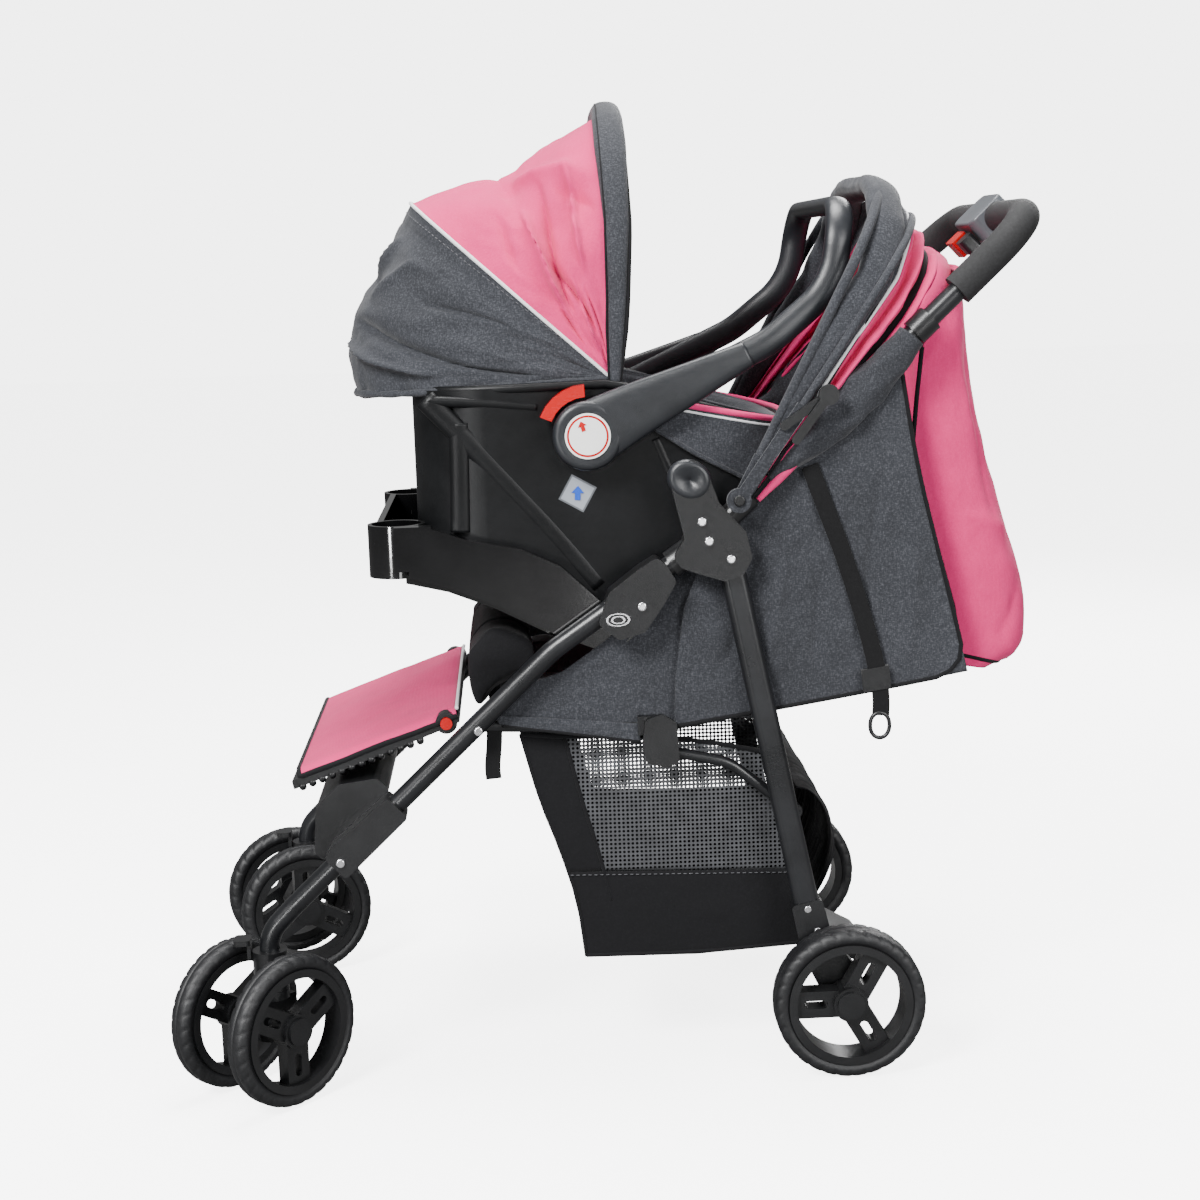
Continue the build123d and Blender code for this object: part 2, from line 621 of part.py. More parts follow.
def link_bar(start, end, x_low, x_high, half, end_radius):
    """Flat link with round ends between two side-view points."""
    middle = ((start[0] + end[0]) / 2, (start[1] + end[1]) / 2)
    run = Vector(*heading(start, end))
    with BuildPart() as made:
        with BuildSketch(Plane.YZ.offset(x_low)):
            with Locations(middle):
                SlotOverall(run.length + 2 * half, 2 * half,
                            rotation=degrees(atan2(run.Z, run.Y)))
            with Locations(end):
                Circle(end_radius)
        extrude(amount=x_high - x_low)
    return made.part


pair(link_bar(STAY_BOW, STAY_MIDDLE, *STAY_INNER, 5, 9), "canopy_stays_upper")
pair(link_bar(STAY_HANDLE, STAY_MIDDLE, *STAY_OUTER, 5, 11), "canopy_stays_lower")

# folded canopy cloth: two arched bands, one between the bows and one down to the handle
band_plane = Plane(origin=at(0, CANOPY_HUB), x_dir=(1, 0, 0),
                   z_dir=Vector(1, 0, 0).cross(Vector(*heading(CANOPY_HUB, MID_BOW_TOP))))


def arch_slab(low_half, low, top_half, top, corner):
    """Thick slab with an arch's outline, in the plane of the folded canopy."""
    with BuildPart() as made:
        with BuildSketch(band_plane) as outline:
            with BuildLine():
                Polyline((-low_half, low), (-top_half, top), (top_half, top), (low_half, low),
                         close=True)
            make_face()
            fillet(outline.vertices().group_by(Axis.Y)[-1], corner)
        extrude(amount=90, both=True)
    return made.part


slab_outer = arch_slab(226, 90, 209, 374, 124)
slab_inner = arch_slab(218, 60, 201, 366, 116)
with BuildPart() as band_ring:
    add(slab_outer)
    add(slab_inner, mode=Mode.SUBTRACT)
front_wedge = plate([(211, 747), (318, 950), (341, 924), (213, 746)], -240, 240)
rear_wedge = plate([(214, 722), (355, 916), (376, 886), (362, 866), (207, 713)], -240, 240)
with BuildPart() as front_band:
    add(band_ring.part)
    add(front_wedge, mode=Mode.INTERSECT)
with BuildPart() as rear_band:
    add(band_ring.part)
    add(rear_wedge, mode=Mode.INTERSECT)
with BuildPart() as canopy_fabric:
    add(front_band.part)
    add(rear_band.part)
write(canopy_fabric.part, "canopy_fabric")

# ---------------------------------------------------------------- stroller seat
write(plate([(-136, 399), (-120, 424), (-70, 434), (10, 426), (46, 418), (46, 394), (-20, 389),
             (-100, 391)], -SEAT_HALF, SEAT_HALF, 3), "seat_base")
write(plate([(-150, 398), (-156, 470), (-124, 504), (-72, 482), (-70, 446), (-124, 436),
             (-142, 420), (-142, 398)], -SEAT_HALF + 6, SEAT_HALF - 6, 3), "calf_panel")

BACK_BEND = (186.0, 408.0)
BACK_END = (388.0, 438.0)
back_start = along(RECLINE_PIVOT, BACK_BEND, 7)
back_tube = tube([at(RAIL_X, back_start), at(RAIL_X, BACK_END), at(-RAIL_X, BACK_END),
                  at(-RAIL_X, back_start)], RAIL_RADIUS, bend=55)
back_eye = pin(RAIL_X - RAIL_RADIUS + 1, RAIL_X + RAIL_RADIUS - 0.5, RECLINE_PIVOT, 9)
back_hole = pin(RAIL_X - 20, RAIL_X + 20, RECLINE_PIVOT, 5 + PIVOT_GAP)
with BuildPart() as backrest_frame:
    add(back_tube)
    for eye in (back_eye, back_eye.mirror(Plane.YZ)):
        add(eye)
    for hole in (back_hole, back_hole.mirror(Plane.YZ)):
        add(hole, mode=Mode.SUBTRACT)
write(backrest_frame.part, "backrest_frame")
write(plate([(76, 392), (186, 404), (364, 432), (364, 456), (186, 436), (78, 418)],
            -SEAT_HALF + 9, SEAT_HALF - 9, 3), "backrest_pad")

# side cloth: a front piece inside the rails and a rear piece between backrest and handle
front_cloth = plate([(-130, 403), (70, 403), (70, 500), (28, 462), (-56, 472)], 178, 181)
rear_cloth = plate([(76, 382), (186, 400), (392, 432), (374, 515), (347, 625), (334, 690),
                    (326, 778), (176, 634), (160, 560), (150, 530), (76, 534)], 203.2, 206.2)
with BuildPart() as seat_side:
    add(front_cloth)
    add(rear_cloth)
pair(seat_side.part, "seat_sides")

BOOT_HALF = 172.0
boot_outer = plate([(352, 792), (402, 876), (411, 792), (419, 727), (438, 649), (466, 559),
                    (480, 491), (481, 456), (462, 430), (404, 428), (404, 446), (390, 501),
                    (364, 590), (344, 678), (347, 732)], -BOOT_HALF, BOOT_HALF)
boot_inner = plate([(330, 790), (384, 890), (399, 792), (407, 727), (426, 649), (454, 559),
                    (468, 491), (469, 462), (456, 442), (404, 440), (330, 440)],
                   -BOOT_HALF + 10, BOOT_HALF - 10)
with BuildPart() as boot_panel:
    add(boot_outer)
    add(boot_inner, mode=Mode.SUBTRACT)
write(boot_panel.part, "boot_panel")

STRAP_X = (211.0, 213.0)
pair(plate([(214, 660), (230, 668), (258, 600), (284, 510), (304, 428), (306, 392), (288, 392),
            (287, 424), (266, 505), (241, 592)], *STRAP_X), "recline_straps")

# ---------------------------------------------------------------- footrest and its buttons
FOOT_HALF = 198.0
board = plate([(-347, 333), (-349, 343), (-340, 346), (-190, 401), (-166, 409), (-163, 401),
               (-190, 390)], -FOOT_HALF, FOOT_HALF, 1.5)
with BuildPart() as footrest:
    add(board)
    for side in (1, -1):
        low, high = sorted((side * (FOOT_HALF - 16), side * FOOT_HALF))
        add(pin(low, high, FOOTREST_PIVOT, 12))
        low, high = sorted((side * (FOOT_HALF - 10), side * (FOOT_HALF + 1)))
        add(pin(low, high, FOOTREST_PIVOT, 7), mode=Mode.SUBTRACT)
write(footrest.part, "footrest")
BUTTON_TRAVEL = 4.0
for side, name in ((1, "left"), (-1, "right")):
    low, high = sorted((side * (FOOT_HALF - 5.5), side * (FOOT_HALF + 4.5)))
    write(pin(low, high, FOOTREST_PIVOT, 6.6), f"footrest_button_{name}")

# ---------------------------------------------------------------- basket
BASKET_HALF = 182.0
basket_outer = plate([(-98, 381), (-79, 305), (-59, 250), (-41, 188), (-34, 124), (94, 122),
                      (206, 128), (211, 215), (199, 300), (100, 371)], -BASKET_HALF, BASKET_HALF)
basket_inner = plate([(-93, 392), (-74, 306), (-54, 252), (-36, 190), (-29, 129), (94, 127),
                      (201, 133), (206, 214), (194, 310), (100, 392)],
                     -BASKET_HALF + 4, BASKET_HALF - 4)
with BuildPart() as basket:
    add(basket_outer)
    add(basket_inner, mode=Mode.SUBTRACT)
write(basket.part, "basket")

# ---------------------------------------------------------------- infant car seat
SHELL_REAR, SHELL_FRONT = 217.0, -203.0


def bucket(outline, inset):
    """Side outline and rounded plan outline of the shell, crossed, with the plan inset."""
    length = SHELL_REAR - SHELL_FRONT - 2 * inset
    middle = (SHELL_REAR + SHELL_FRONT) / 2
    with BuildPart() as made:
        with BuildSketch(Plane.XY.offset(480)):
            with Locations((0, middle)):
                RectangleRounded(2 * (SHELL_HALF - inset), length, 80 - inset)
        extrude(amount=420)
        add(plate(outline, -SHELL_HALF, SHELL_HALF), mode=Mode.INTERSECT)
    return made.part


shell_outer = bucket([(-203, 758), (-203, 605), (-188, 594), (-134, 590), (-49, 539), (15, 503),
                      (60, 541), (105, 582), (193, 651), (217, 703), (109, 734), (24, 762)], 0)
shell_inner = bucket([(-203, 800), (-203, 612), (-186, 600), (-132, 597), (-46, 546), (15, 511),
                      (57, 548), (102, 589), (189, 657), (217, 712), (217, 800)], 5)
HUB_STUB = (SHELL_HALF - 3, 188.0)
shell_hub = pin(*HUB_STUB, CARRY_PIVOT, 30)
shell_axle = pin(HUB_STUB[0], 209.0, CARRY_PIVOT, 7)
with BuildPart() as carseat_shell:
    add(shell_outer)
    add(shell_inner, mode=Mode.SUBTRACT)
    for part in (shell_hub, shell_axle):
        add(part)
        add(part.mirror(Plane.YZ))
write(carseat_shell.part, "carseat_shell")

liner_outer = bucket([(-203, 752), (-203, 613), (-186, 601.5), (-132, 598.5), (-46, 547.5),
                      (15, 512.5), (57, 549.5), (102, 590.5), (189, 658.5), (217, 714),
                      (109, 742), (24, 756)], 6)
liner_inner = bucket([(-203, 800), (-203, 630), (-182, 619), (-128, 616), (-40, 565),
                      (15, 532), (50, 564), (95, 607), (180, 672), (200, 720), (200, 800)], 22)
with BuildPart() as carseat_liner:
    add(liner_outer)
    add(liner_inner, mode=Mode.SUBTRACT)
write(carseat_liner.part, "carseat_liner")

# harness: two shoulder straps down the back and a crotch buckle, lying on the liner
with BuildPart() as carseat_harness:
    for side in (1, -1):
        low, high = sorted((side * 28, side * 54))
        add(plate([(-172, 636), (-172, 640), (-124, 624), (-36, 573), (-38, 569), (-126, 620)],
                  low, high))
    add(plate([(-28, 566), (-34, 582), (6, 566), (12, 552)], -24, 24, 3))
write(carseat_harness.part, "carseat_harness")


# hood of the car seat: an arched cloth on one bow
def hood_body(outline, half, top):
    """Side outline of the hood crossed with its round front arch."""
    with BuildPart() as made:
        with BuildSketch(Plane.XZ.offset(-120)):
            with BuildLine():
                Polyline((half, 905), (half, 700), (-half, 700), (-half, 905))
                ThreePointArc((-half, 905), (0, top), (half, 905))
            make_face()
        extrude(amount=420)
        add(plate(outline, -half - 5, half + 5), mode=Mode.INTERSECT)
    return made.part


hood_outer = hood_body([(18, 764), (38, 800), (46, 850), (47, 930), (41, 1030), (33, 1075),
                        (14, 1075), (-50, 1020), (-85, 992), (-154, 977), (-196, 964),
                        (-237, 880), (-264, 845), (-274, 801), (-268, 764)], 172, 1070)
hood_inner = hood_body([(80, 700), (80, 1100), (10, 1064), (-48, 1012), (-84, 985), (-152, 970),
                        (-191, 957), (-231, 877), (-257, 842), (-267, 801), (-261, 700)],
                       167, 1065)
with BuildPart() as carseat_canopy:
    add(hood_outer)
    add(hood_inner, mode=Mode.SUBTRACT)
write(carseat_canopy.part, "carseat_canopy")

bow_plane = Plane(origin=at(0, SEAT_HOOD_PIVOT), x_dir=(1, 0, 0),
                  z_dir=Vector(1, 0, 0).cross(Vector(*heading(SEAT_HOOD_PIVOT, (24, 1056)))))
with BuildPart() as carseat_bow:
    with BuildLine(bow_plane) as bow_line:
        Line((-161, 0), (-161, 139))
        ThreePointArc((-161, 139), (0, 289), (161, 139))
        Line((161, 139), (161, 0))
    with BuildSketch(Plane(origin=bow_line.line @ 0, z_dir=bow_line.line % 0)):
        Circle(4)
    sweep()
write(carseat_bow.part, "carseat_bow")

# carry handle with its two hub discs
CARRY_TOP = (267.0, 942.0)
DISC_X = (189.0, 206.0)
CARRY_OVAL = (9.5, 15.0)
CARRY_BENDS = [60, 120, 90, 48]
carry_route = [at(200.5, CARRY_PIVOT), at(199.5, (60, 743)), at(193, (184, 800)),
               at(182, (254, 856)), at(175, CARRY_TOP)]
carry_route += [(-x, y, z) for x, y, z in reversed(carry_route)]
with BuildPart() as carry_bar:
    with BuildLine() as carry_line:
        FilletPolyline(*carry_route, radius=CARRY_BENDS + CARRY_BENDS[::-1])
    with BuildSketch(Plane(origin=carry_line.line @ 0, x_dir=(1, 0, 0), z_dir=carry_line.line % 0)):
        Ellipse(*CARRY_OVAL)
    sweep()
carry_tube = carry_bar.part
carry_disc = pin(*DISC_X, CARRY_PIVOT, 37)
carry_hole = pin(DISC_X[0] - 8, DISC_X[1] + 8, CARRY_PIVOT, 7 + PIVOT_GAP)
with BuildPart() as carry_handle:
    add(carry_tube)
    for disc in (carry_disc, carry_disc.mirror(Plane.YZ)):
        add(disc)
    for hole in (carry_hole, carry_hole.mirror(Plane.YZ)):
        add(hole, mode=Mode.SUBTRACT)
write(carry_handle.part, "carry_handle")

BUTTON_ARC = [radians(angle) for angle in (92, 105, 118, 131, 144, 157)]
BUTTON_INNER, BUTTON_OUTER = 41.0, 54.0
button_outline = [(CARRY_PIVOT[0] + BUTTON_OUTER * cos(a), CARRY_PIVOT[1] + BUTTON_OUTER * sin(a))
                  for a in BUTTON_ARC]
button_outline += [(CARRY_PIVOT[0] + BUTTON_INNER * cos(a), CARRY_PIVOT[1] + BUTTON_INNER * sin(a))
                   for a in reversed(BUTTON_ARC)]
carry_button = plate(button_outline, DISC_X[0] + 1, DISC_X[1] - 1)
write(carry_button, "carry_button_left")
write(carry_button.mirror(Plane.YZ), "carry_button_right")
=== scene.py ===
"""Looks of the travel-system stroller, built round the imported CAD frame. Metres, +Z up, -Y front."""

import json
import math

import bmesh
import bpy
import numpy as np
from mathutils import Matrix, Vector


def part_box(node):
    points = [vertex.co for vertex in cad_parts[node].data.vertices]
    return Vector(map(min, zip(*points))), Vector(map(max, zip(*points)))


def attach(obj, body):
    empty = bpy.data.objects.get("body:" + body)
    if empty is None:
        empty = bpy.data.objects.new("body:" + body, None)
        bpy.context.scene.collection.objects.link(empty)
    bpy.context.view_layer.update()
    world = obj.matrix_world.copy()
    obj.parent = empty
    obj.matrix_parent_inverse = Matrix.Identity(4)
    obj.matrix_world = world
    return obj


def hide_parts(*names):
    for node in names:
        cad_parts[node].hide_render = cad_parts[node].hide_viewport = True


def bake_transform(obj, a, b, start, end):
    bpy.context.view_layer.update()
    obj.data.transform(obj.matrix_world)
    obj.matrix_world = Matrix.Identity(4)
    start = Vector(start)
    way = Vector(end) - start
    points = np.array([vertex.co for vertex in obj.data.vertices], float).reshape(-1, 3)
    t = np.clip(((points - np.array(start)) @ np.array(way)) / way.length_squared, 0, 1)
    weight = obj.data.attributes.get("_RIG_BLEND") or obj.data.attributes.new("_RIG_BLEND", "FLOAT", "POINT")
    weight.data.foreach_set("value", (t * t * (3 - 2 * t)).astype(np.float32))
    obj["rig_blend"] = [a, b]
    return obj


# All shapes below are in millimetres, in the frame's own axes; make_object turns them into metres.
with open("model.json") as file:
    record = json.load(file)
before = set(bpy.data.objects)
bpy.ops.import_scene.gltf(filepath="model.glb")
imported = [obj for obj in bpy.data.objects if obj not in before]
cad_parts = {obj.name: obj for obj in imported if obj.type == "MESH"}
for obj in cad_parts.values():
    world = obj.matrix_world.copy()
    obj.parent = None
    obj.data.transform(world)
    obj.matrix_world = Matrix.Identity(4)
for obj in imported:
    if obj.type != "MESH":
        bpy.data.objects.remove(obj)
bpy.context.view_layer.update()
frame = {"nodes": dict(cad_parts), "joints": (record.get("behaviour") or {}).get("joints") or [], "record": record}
MM = 0.001
JOINTS = {joint["name"]: joint for joint in frame["joints"]}


def pivot(name):
    """(y, z) of a joint's axis in millimetres."""
    place = JOINTS[name]["pos_m"]
    return np.array([place[1], place[2]]) / MM


HOOD = pivot("hood_fold")
HUB = pivot("canopy_open")
FOLD = pivot("fold")
CARRY = pivot("carry_turn")
FOOT = pivot("footrest_tilt")


# ------------------------------------------------------------------ noise and small maths
def smooth_noise(u, v, seed, octaves=3):
    """Value noise from -1 to 1 on a plane, the same on every run."""
    total = np.zeros(np.broadcast(u, v).shape)
    weight, norm = 1.0, 0.0
    for octave in range(octaves):
        table = np.random.RandomState(seed + 17 * octave).uniform(-1, 1, (64, 64))
        x, y = u * 2 ** octave, v * 2 ** octave
        ix, iy = np.floor(x).astype(int), np.floor(y).astype(int)
        fx, fy = x - ix, y - iy
        fx, fy = fx * fx * (3 - 2 * fx), fy * fy * (3 - 2 * fy)
        a = table[ix % 64, iy % 64]
        b = table[(ix + 1) % 64, iy % 64]
        c = table[ix % 64, (iy + 1) % 64]
        d = table[(ix + 1) % 64, (iy + 1) % 64]
        total += weight * ((a * (1 - fx) + b * fx) * (1 - fy) + (c * (1 - fx) + d * fx) * fy)
        norm += weight
        weight *= 0.5
    return total / norm


def polyline(points, shares):
    """Points at the given shares of a polyline's length."""
    points = np.asarray(points, float)
    steps = np.r_[0, np.cumsum(np.linalg.norm(np.diff(points, axis=0), axis=1))]
    steps /= steps[-1]
    return np.stack([np.interp(shares, steps, points[:, k]) for k in range(points.shape[1])], -1)


def smooth_line(points, count, rounds=3):
    """A smooth curve near a few points, evenly spaced, by corner cutting."""
    line = np.asarray(points, float)
    for _ in range(rounds):
        ahead, back = line[:-1] * 0.25 + line[1:] * 0.75, line[:-1] * 0.75 + line[1:] * 0.25
        middle = np.empty((2 * len(back), line.shape[1]))
        middle[0::2], middle[1::2] = back, ahead
        line = np.vstack([line[:1], middle, line[-1:]])
    return polyline(line, np.linspace(0, 1, count))


def unit_square(rows, columns, ends=True):
    """Shares (v, u) down and across a grid, each from 0 to 1."""
    return np.meshgrid(np.linspace(0, 1, rows), np.linspace(0, 1, columns, endpoint=ends), indexing="ij")


def squared(angle, power):
    """Cosine and sine of a squared-off circle; power 1 is round, and a small power is nearly square."""
    c, s = np.cos(angle), np.sin(angle)
    return np.sign(c) * np.abs(c) ** power, np.sign(s) * np.abs(s) ** power


def normals_of(grid):
    """Unit normals of a grid of points."""
    du, dv = np.gradient(grid, axis=0), np.gradient(grid, axis=1)
    normal = np.cross(du, dv)
    return normal / np.maximum(np.linalg.norm(normal, axis=-1, keepdims=True), 1e-9)


def crease(u, v, start, end, width, height):
    """A fold across a cloth's (u, v) square, from start to end, fading at its ends."""
    s, e = np.array(start), np.array(end)
    run = e - s
    along = ((u - s[0]) * run[0] + (v - s[1]) * run[1]) / (run @ run)
    away = ((u - s[0]) * run[1] - (v - s[1]) * run[0]) / math.sqrt(run @ run)
    fade = np.clip(1 - np.abs(2 * along - 1) ** 3, 0, 1)
    return height * fade * np.exp(-np.abs(away / width) ** 1.15)


def twin_creases(u, v, creases):
    """The same creases on both halves of a cloth."""
    return sum(crease(w, v, *each) for w in (u, 1 - u) for each in creases)


# ------------------------------------------------------------------ mesh building
def make_object(name, verts, faces, material, smooth=True):
    """A new object from points in millimetres."""
    mesh = bpy.data.meshes.new(name)
    mesh.from_pydata([tuple(v) for v in np.asarray(verts) * MM], [], [tuple(map(int, f)) for f in faces])
    mesh.validate()
    mesh.update()
    mesh.materials.append(material)
    mesh.polygons.foreach_set("use_smooth", [smooth] * len(mesh.polygons))
    piece = bpy.data.objects.new(name, mesh)
    bpy.context.collection.objects.link(piece)
    return piece


def grid_faces(rows, columns, wrap_rows=False, wrap_columns=False, base=0):
    """Quads of a grid; a wrapped side joins its last line to its first."""
    faces = []
    for i in range(rows if wrap_rows else rows - 1):
        for j in range(columns if wrap_columns else columns - 1):
            a, b = i * columns + j, i * columns + (j + 1) % columns
            c, d = ((i + 1) % rows) * columns + (j + 1) % columns, ((i + 1) % rows) * columns + j
            faces.append((base + a, base + b, base + c, base + d))
    return faces


def apply_modifiers(piece):
    """Bakes a piece's modifiers into its mesh."""
    bpy.context.view_layer.update()
    graph = bpy.context.evaluated_depsgraph_get()
    mesh = bpy.data.meshes.new_from_object(piece.evaluated_get(graph))
    piece.modifiers.clear()
    piece.data = mesh
    return piece


def fix_normals(piece):
    """Faces a closed piece's normals outwards."""
    work = bmesh.new()
    work.from_mesh(piece.data)
    bmesh.ops.recalc_face_normals(work, faces=work.faces)
    work.to_mesh(piece.data)
    work.free()
    return piece


def cloth(name, grid, material, thickness=1.2, wrap=False):
    """A sheet of cloth from a grid of points, with its thickness."""
    rows, columns = grid.shape[:2]
    piece = make_object(name, grid.reshape(-1, 3), grid_faces(rows, columns, wrap_columns=wrap), material)
    solid = piece.modifiers.new("thickness", "SOLIDIFY")
    solid.thickness = thickness * MM
    solid.offset = 0
    return apply_modifiers(piece)


def declare_sheet(piece):
    """Returns the piece as it is."""
    return piece


def tube(name, points, radius, material, sides=10, closed=False):
    """Round tube along points; radius may vary along it."""
    return section_tube(name, points, [(radius, radius)] if np.isscalar(radius)
                        else [(r, r) for r in radius], material, sides, closed=closed)


def section_tube(name, points, halves, material, sides=16, up=None, power=1.0, closed=False,
                 shape=None):
    """Tube of oval section along points. halves are (half width along up, half height) pairs."""
    points = np.asarray(points, float)
    count = len(points)
    halves = np.asarray(halves, float)
    halves = polyline(halves, np.linspace(0, 1, count)) if len(halves) > 1 else np.repeat(halves, count, 0)
    if closed:
        tangent = np.roll(points, -1, 0) - np.roll(points, 1, 0)
    else:
        tangent = np.gradient(points, axis=0)
    tangent /= np.linalg.norm(tangent, axis=1, keepdims=True)
    if up is None:
        first = np.cross(tangent[0], (0, 0, 1) if abs(tangent[0][2]) < 0.9 else (0, 1, 0))
        sideways = [first / np.linalg.norm(first)]
        for k in range(1, count):
            now = sideways[-1] - tangent[k] * (sideways[-1] @ tangent[k])
            sideways.append(now / np.linalg.norm(now))
        sideways = np.array(sideways)
    else:
        up = np.broadcast_to(np.asarray(up, float), points.shape)
        sideways = up - tangent * (up * tangent).sum(1, keepdims=True)
        sideways /= np.linalg.norm(sideways, axis=1, keepdims=True)
    other = np.cross(tangent, sideways)
    angle = np.linspace(0, 2 * math.pi, sides, endpoint=False)
    c, s = squared(angle, power)
    rings = (points[:, None] + sideways[:, None] * (halves[:, :1] * c)[..., None]
             + other[:, None] * (halves[:, 1:] * s)[..., None])
    if shape is not None:
        rings = shape(rings, points)
    verts = rings.reshape(-1, 3)
    faces = grid_faces(count, sides, wrap_rows=closed, wrap_columns=True)
    if not closed:
        verts = np.vstack([verts, points[0], points[-1]])
        first, last = count * sides, count * sides + 1
        faces += [(first, (k + 1) % sides, k) for k in range(sides)]
        low = (count - 1) * sides
        faces += [(last, low + k, low + (k + 1) % sides) for k in range(sides)]
    return fix_normals(make_object(name, verts, faces, material))


def plate(name, outline, x_low, x_high, material, bevel=1.5):
    """Flat plate of a side-view outline (y, z), with rounded edges."""
    outline = np.asarray(outline, float)
    n = len(outline)
    verts = [(x_low, y, z) for y, z in outline] + [(x_high, y, z) for y, z in outline]
    faces = [tuple(range(n)), tuple(range(2 * n - 1, n - 1, -1))]
    faces += [(k, (k + 1) % n, n + (k + 1) % n, n + k) for k in range(n)]
    piece = make_object(name, verts, faces, material, smooth=False)
    if bevel:
        edge = piece.modifiers.new("edge", "BEVEL")
        edge.width, edge.segments, edge.limit_method = bevel * MM, 3, "ANGLE"
        edge.angle_limit = math.radians(40)
        apply_modifiers(piece)
    fix_normals(piece)
    return shade(piece)


def shade(piece, angle=40):
    """Smooth shading except across sharp edges."""
    mesh = piece.data
    mesh.polygons.foreach_set("use_smooth", [True] * len(mesh.polygons))
    mesh.set_sharp_from_angle(angle=math.radians(angle))
    return piece


def join(name, pieces):
    """Several meshes as one piece."""
    bpy.ops.object.select_all(action="DESELECT")
    for piece in pieces:
        piece.select_set(True)
    bpy.context.view_layer.objects.active = pieces[0]
    bpy.ops.object.join()
    joined = bpy.context.view_layer.objects.active
    joined.name = name
    joined.data.name = name
    return joined


def mirrored(piece, name):
    """The mirror image of a piece across the middle plane."""
    mesh = piece.data.copy()
    mesh.transform(Matrix.Scale(-1, 4, (1, 0, 0)))
    mesh.flip_normals()
    twin = bpy.data.objects.new(name, mesh)
    bpy.context.collection.objects.link(twin)
    return twin


def lathe(name, profile, centre, axle, material, sides=96, shape=None):
    """Ring made by turning a closed profile of (axial, radius) points about an axle."""
    axle = np.array(axle, float) / np.linalg.norm(axle)
    first = np.cross(axle, (0, 0, 1))
    first /= np.linalg.norm(first)
    second = np.cross(axle, first)
    profile = np.asarray(profile, float)
    angle = np.linspace(0, 2 * math.pi, sides, endpoint=False)
    axial = np.repeat(profile[None, :, 0], sides, 0)
    radius = np.repeat(profile[None, :, 1], sides, 0)
    if shape is not None:
        axial, radius = shape(axial, radius, angle[:, None])
    rings = (np.asarray(centre, float) + axial[..., None] * axle
             + (radius * np.cos(angle)[:, None])[..., None] * first
             + (radius * np.sin(angle)[:, None])[..., None] * second)
    faces = grid_faces(sides, len(profile), wrap_rows=True, wrap_columns=True)
    return fix_normals(make_object(name, rings.reshape(-1, 3), faces, material))


def arch(side, half_low, half_top, squareness, count=121):
    """Curve over the stroller: up the left side line (y, z), across, and down on the right."""
    angle = np.linspace(0, math.pi, 801)
    across, height = squared(angle, squareness)
    flat = polyline(side, height)
    half = half_low + (half_top - half_low) * height
    line = np.column_stack([half * across, flat])
    return polyline(line, np.linspace(0, 1, count))


def coons(bottom, top, left, right, rows=60, columns=60):
    """Surface filled in between four boundary lines; bottom and top run left to right."""
    u, v = np.linspace(0, 1, columns), np.linspace(0, 1, rows)
    b, t = polyline(bottom, u), polyline(top, u)
    l, r = polyline(left, v), polyline(right, v)
    uu, vv = u[None, :, None], v[:, None, None]
    ruled = (1 - vv) * b[None] + vv * t[None]
    other = (1 - uu) * l[:, None] + uu * r[:, None]
    corners = ((1 - uu) * (1 - vv) * b[0] + uu * (1 - vv) * b[-1]
               + (1 - uu) * vv * t[0] + uu * vv * t[-1])
    return ruled + other - corners


def at_x(x, points):
    """Side-view points (y, z) put at the sideways place x."""
    return np.array([(x, y, z) for y, z in points], float)


def stitches(name, points, material, length=4.0, gap=2.6, radius=0.45):
    """A row of thread stitches along a line."""
    points = np.asarray(points, float)
    total = np.linalg.norm(np.diff(points, axis=0), axis=1).sum()
    count = max(2, int(total / (length + gap)))
    verts, faces = [], []
    for k in range(count):
        a, b = polyline(points, [(k + 0.15) / count, (k + 0.15) / count + length / total])
        run = b - a
        size = np.linalg.norm(run)
        if size < 1e-6:
            continue
        run /= size
        side = np.cross(run, (0, 0, 1) if abs(run[2]) < 0.9 else (1, 0, 0))
        side /= np.linalg.norm(side)
        up = np.cross(run, side)
        base = len(verts)
        for end, r in ((a, radius * 0.5), (a + run * size * 0.25, radius), (b - run * size * 0.25, radius),
                       (b, radius * 0.5)):
            for q in range(6):
                angle = q * math.pi / 3
                verts.append(end + (side * math.cos(angle) + up * math.sin(angle)) * r)
        faces += grid_faces(4, 6, wrap_columns=True, base=base)
        faces += [tuple(base + q for q in range(5, -1, -1)), tuple(base + 18 + q for q in range(6))]
    return make_object(name, verts, faces, material)


def puff(piece, voxel=5.5, cap=7.0, pressure=4.0):
    """Swells a pad by cloth simulation and keeps the result."""
    remesh = piece.modifiers.new("voxels", "REMESH")
    remesh.mode, remesh.voxel_size = "VOXEL", voxel * MM
    apply_modifiers(piece)
    before = np.array([v.co for v in piece.data.vertices])
    sim = piece.modifiers.new("cloth", "CLOTH")
    settings = sim.settings
    settings.use_pressure, settings.uniform_pressure_force = True, pressure
    settings.effector_weights.gravity = 0
    settings.quality = 5
    scene = bpy.context.scene
    for step in range(1, 21):
        scene.frame_set(step)
    bpy.context.view_layer.update()
    graph = bpy.context.evaluated_depsgraph_get()
    swollen = bpy.data.meshes.new_from_object(piece.evaluated_get(graph))
    after = np.array([v.co for v in swollen.vertices])
    piece.modifiers.clear()
    scene.frame_set(1)
    move = after - before
    size = np.linalg.norm(move, axis=1, keepdims=True)
    move *= np.minimum(1, cap * MM / np.maximum(size, 1e-9))
    piece.data.vertices.foreach_set("co", (before + move).ravel())
    piece.data.update()
    smoother = piece.modifiers.new("soften", "SMOOTH")
    smoother.iterations = 4
    finer = piece.modifiers.new("finer", "SUBSURF")
    finer.levels = finer.render_levels = 1
    apply_modifiers(piece)
    piece.data.polygons.foreach_set("use_smooth", [True] * len(piece.data.polygons))
    return piece


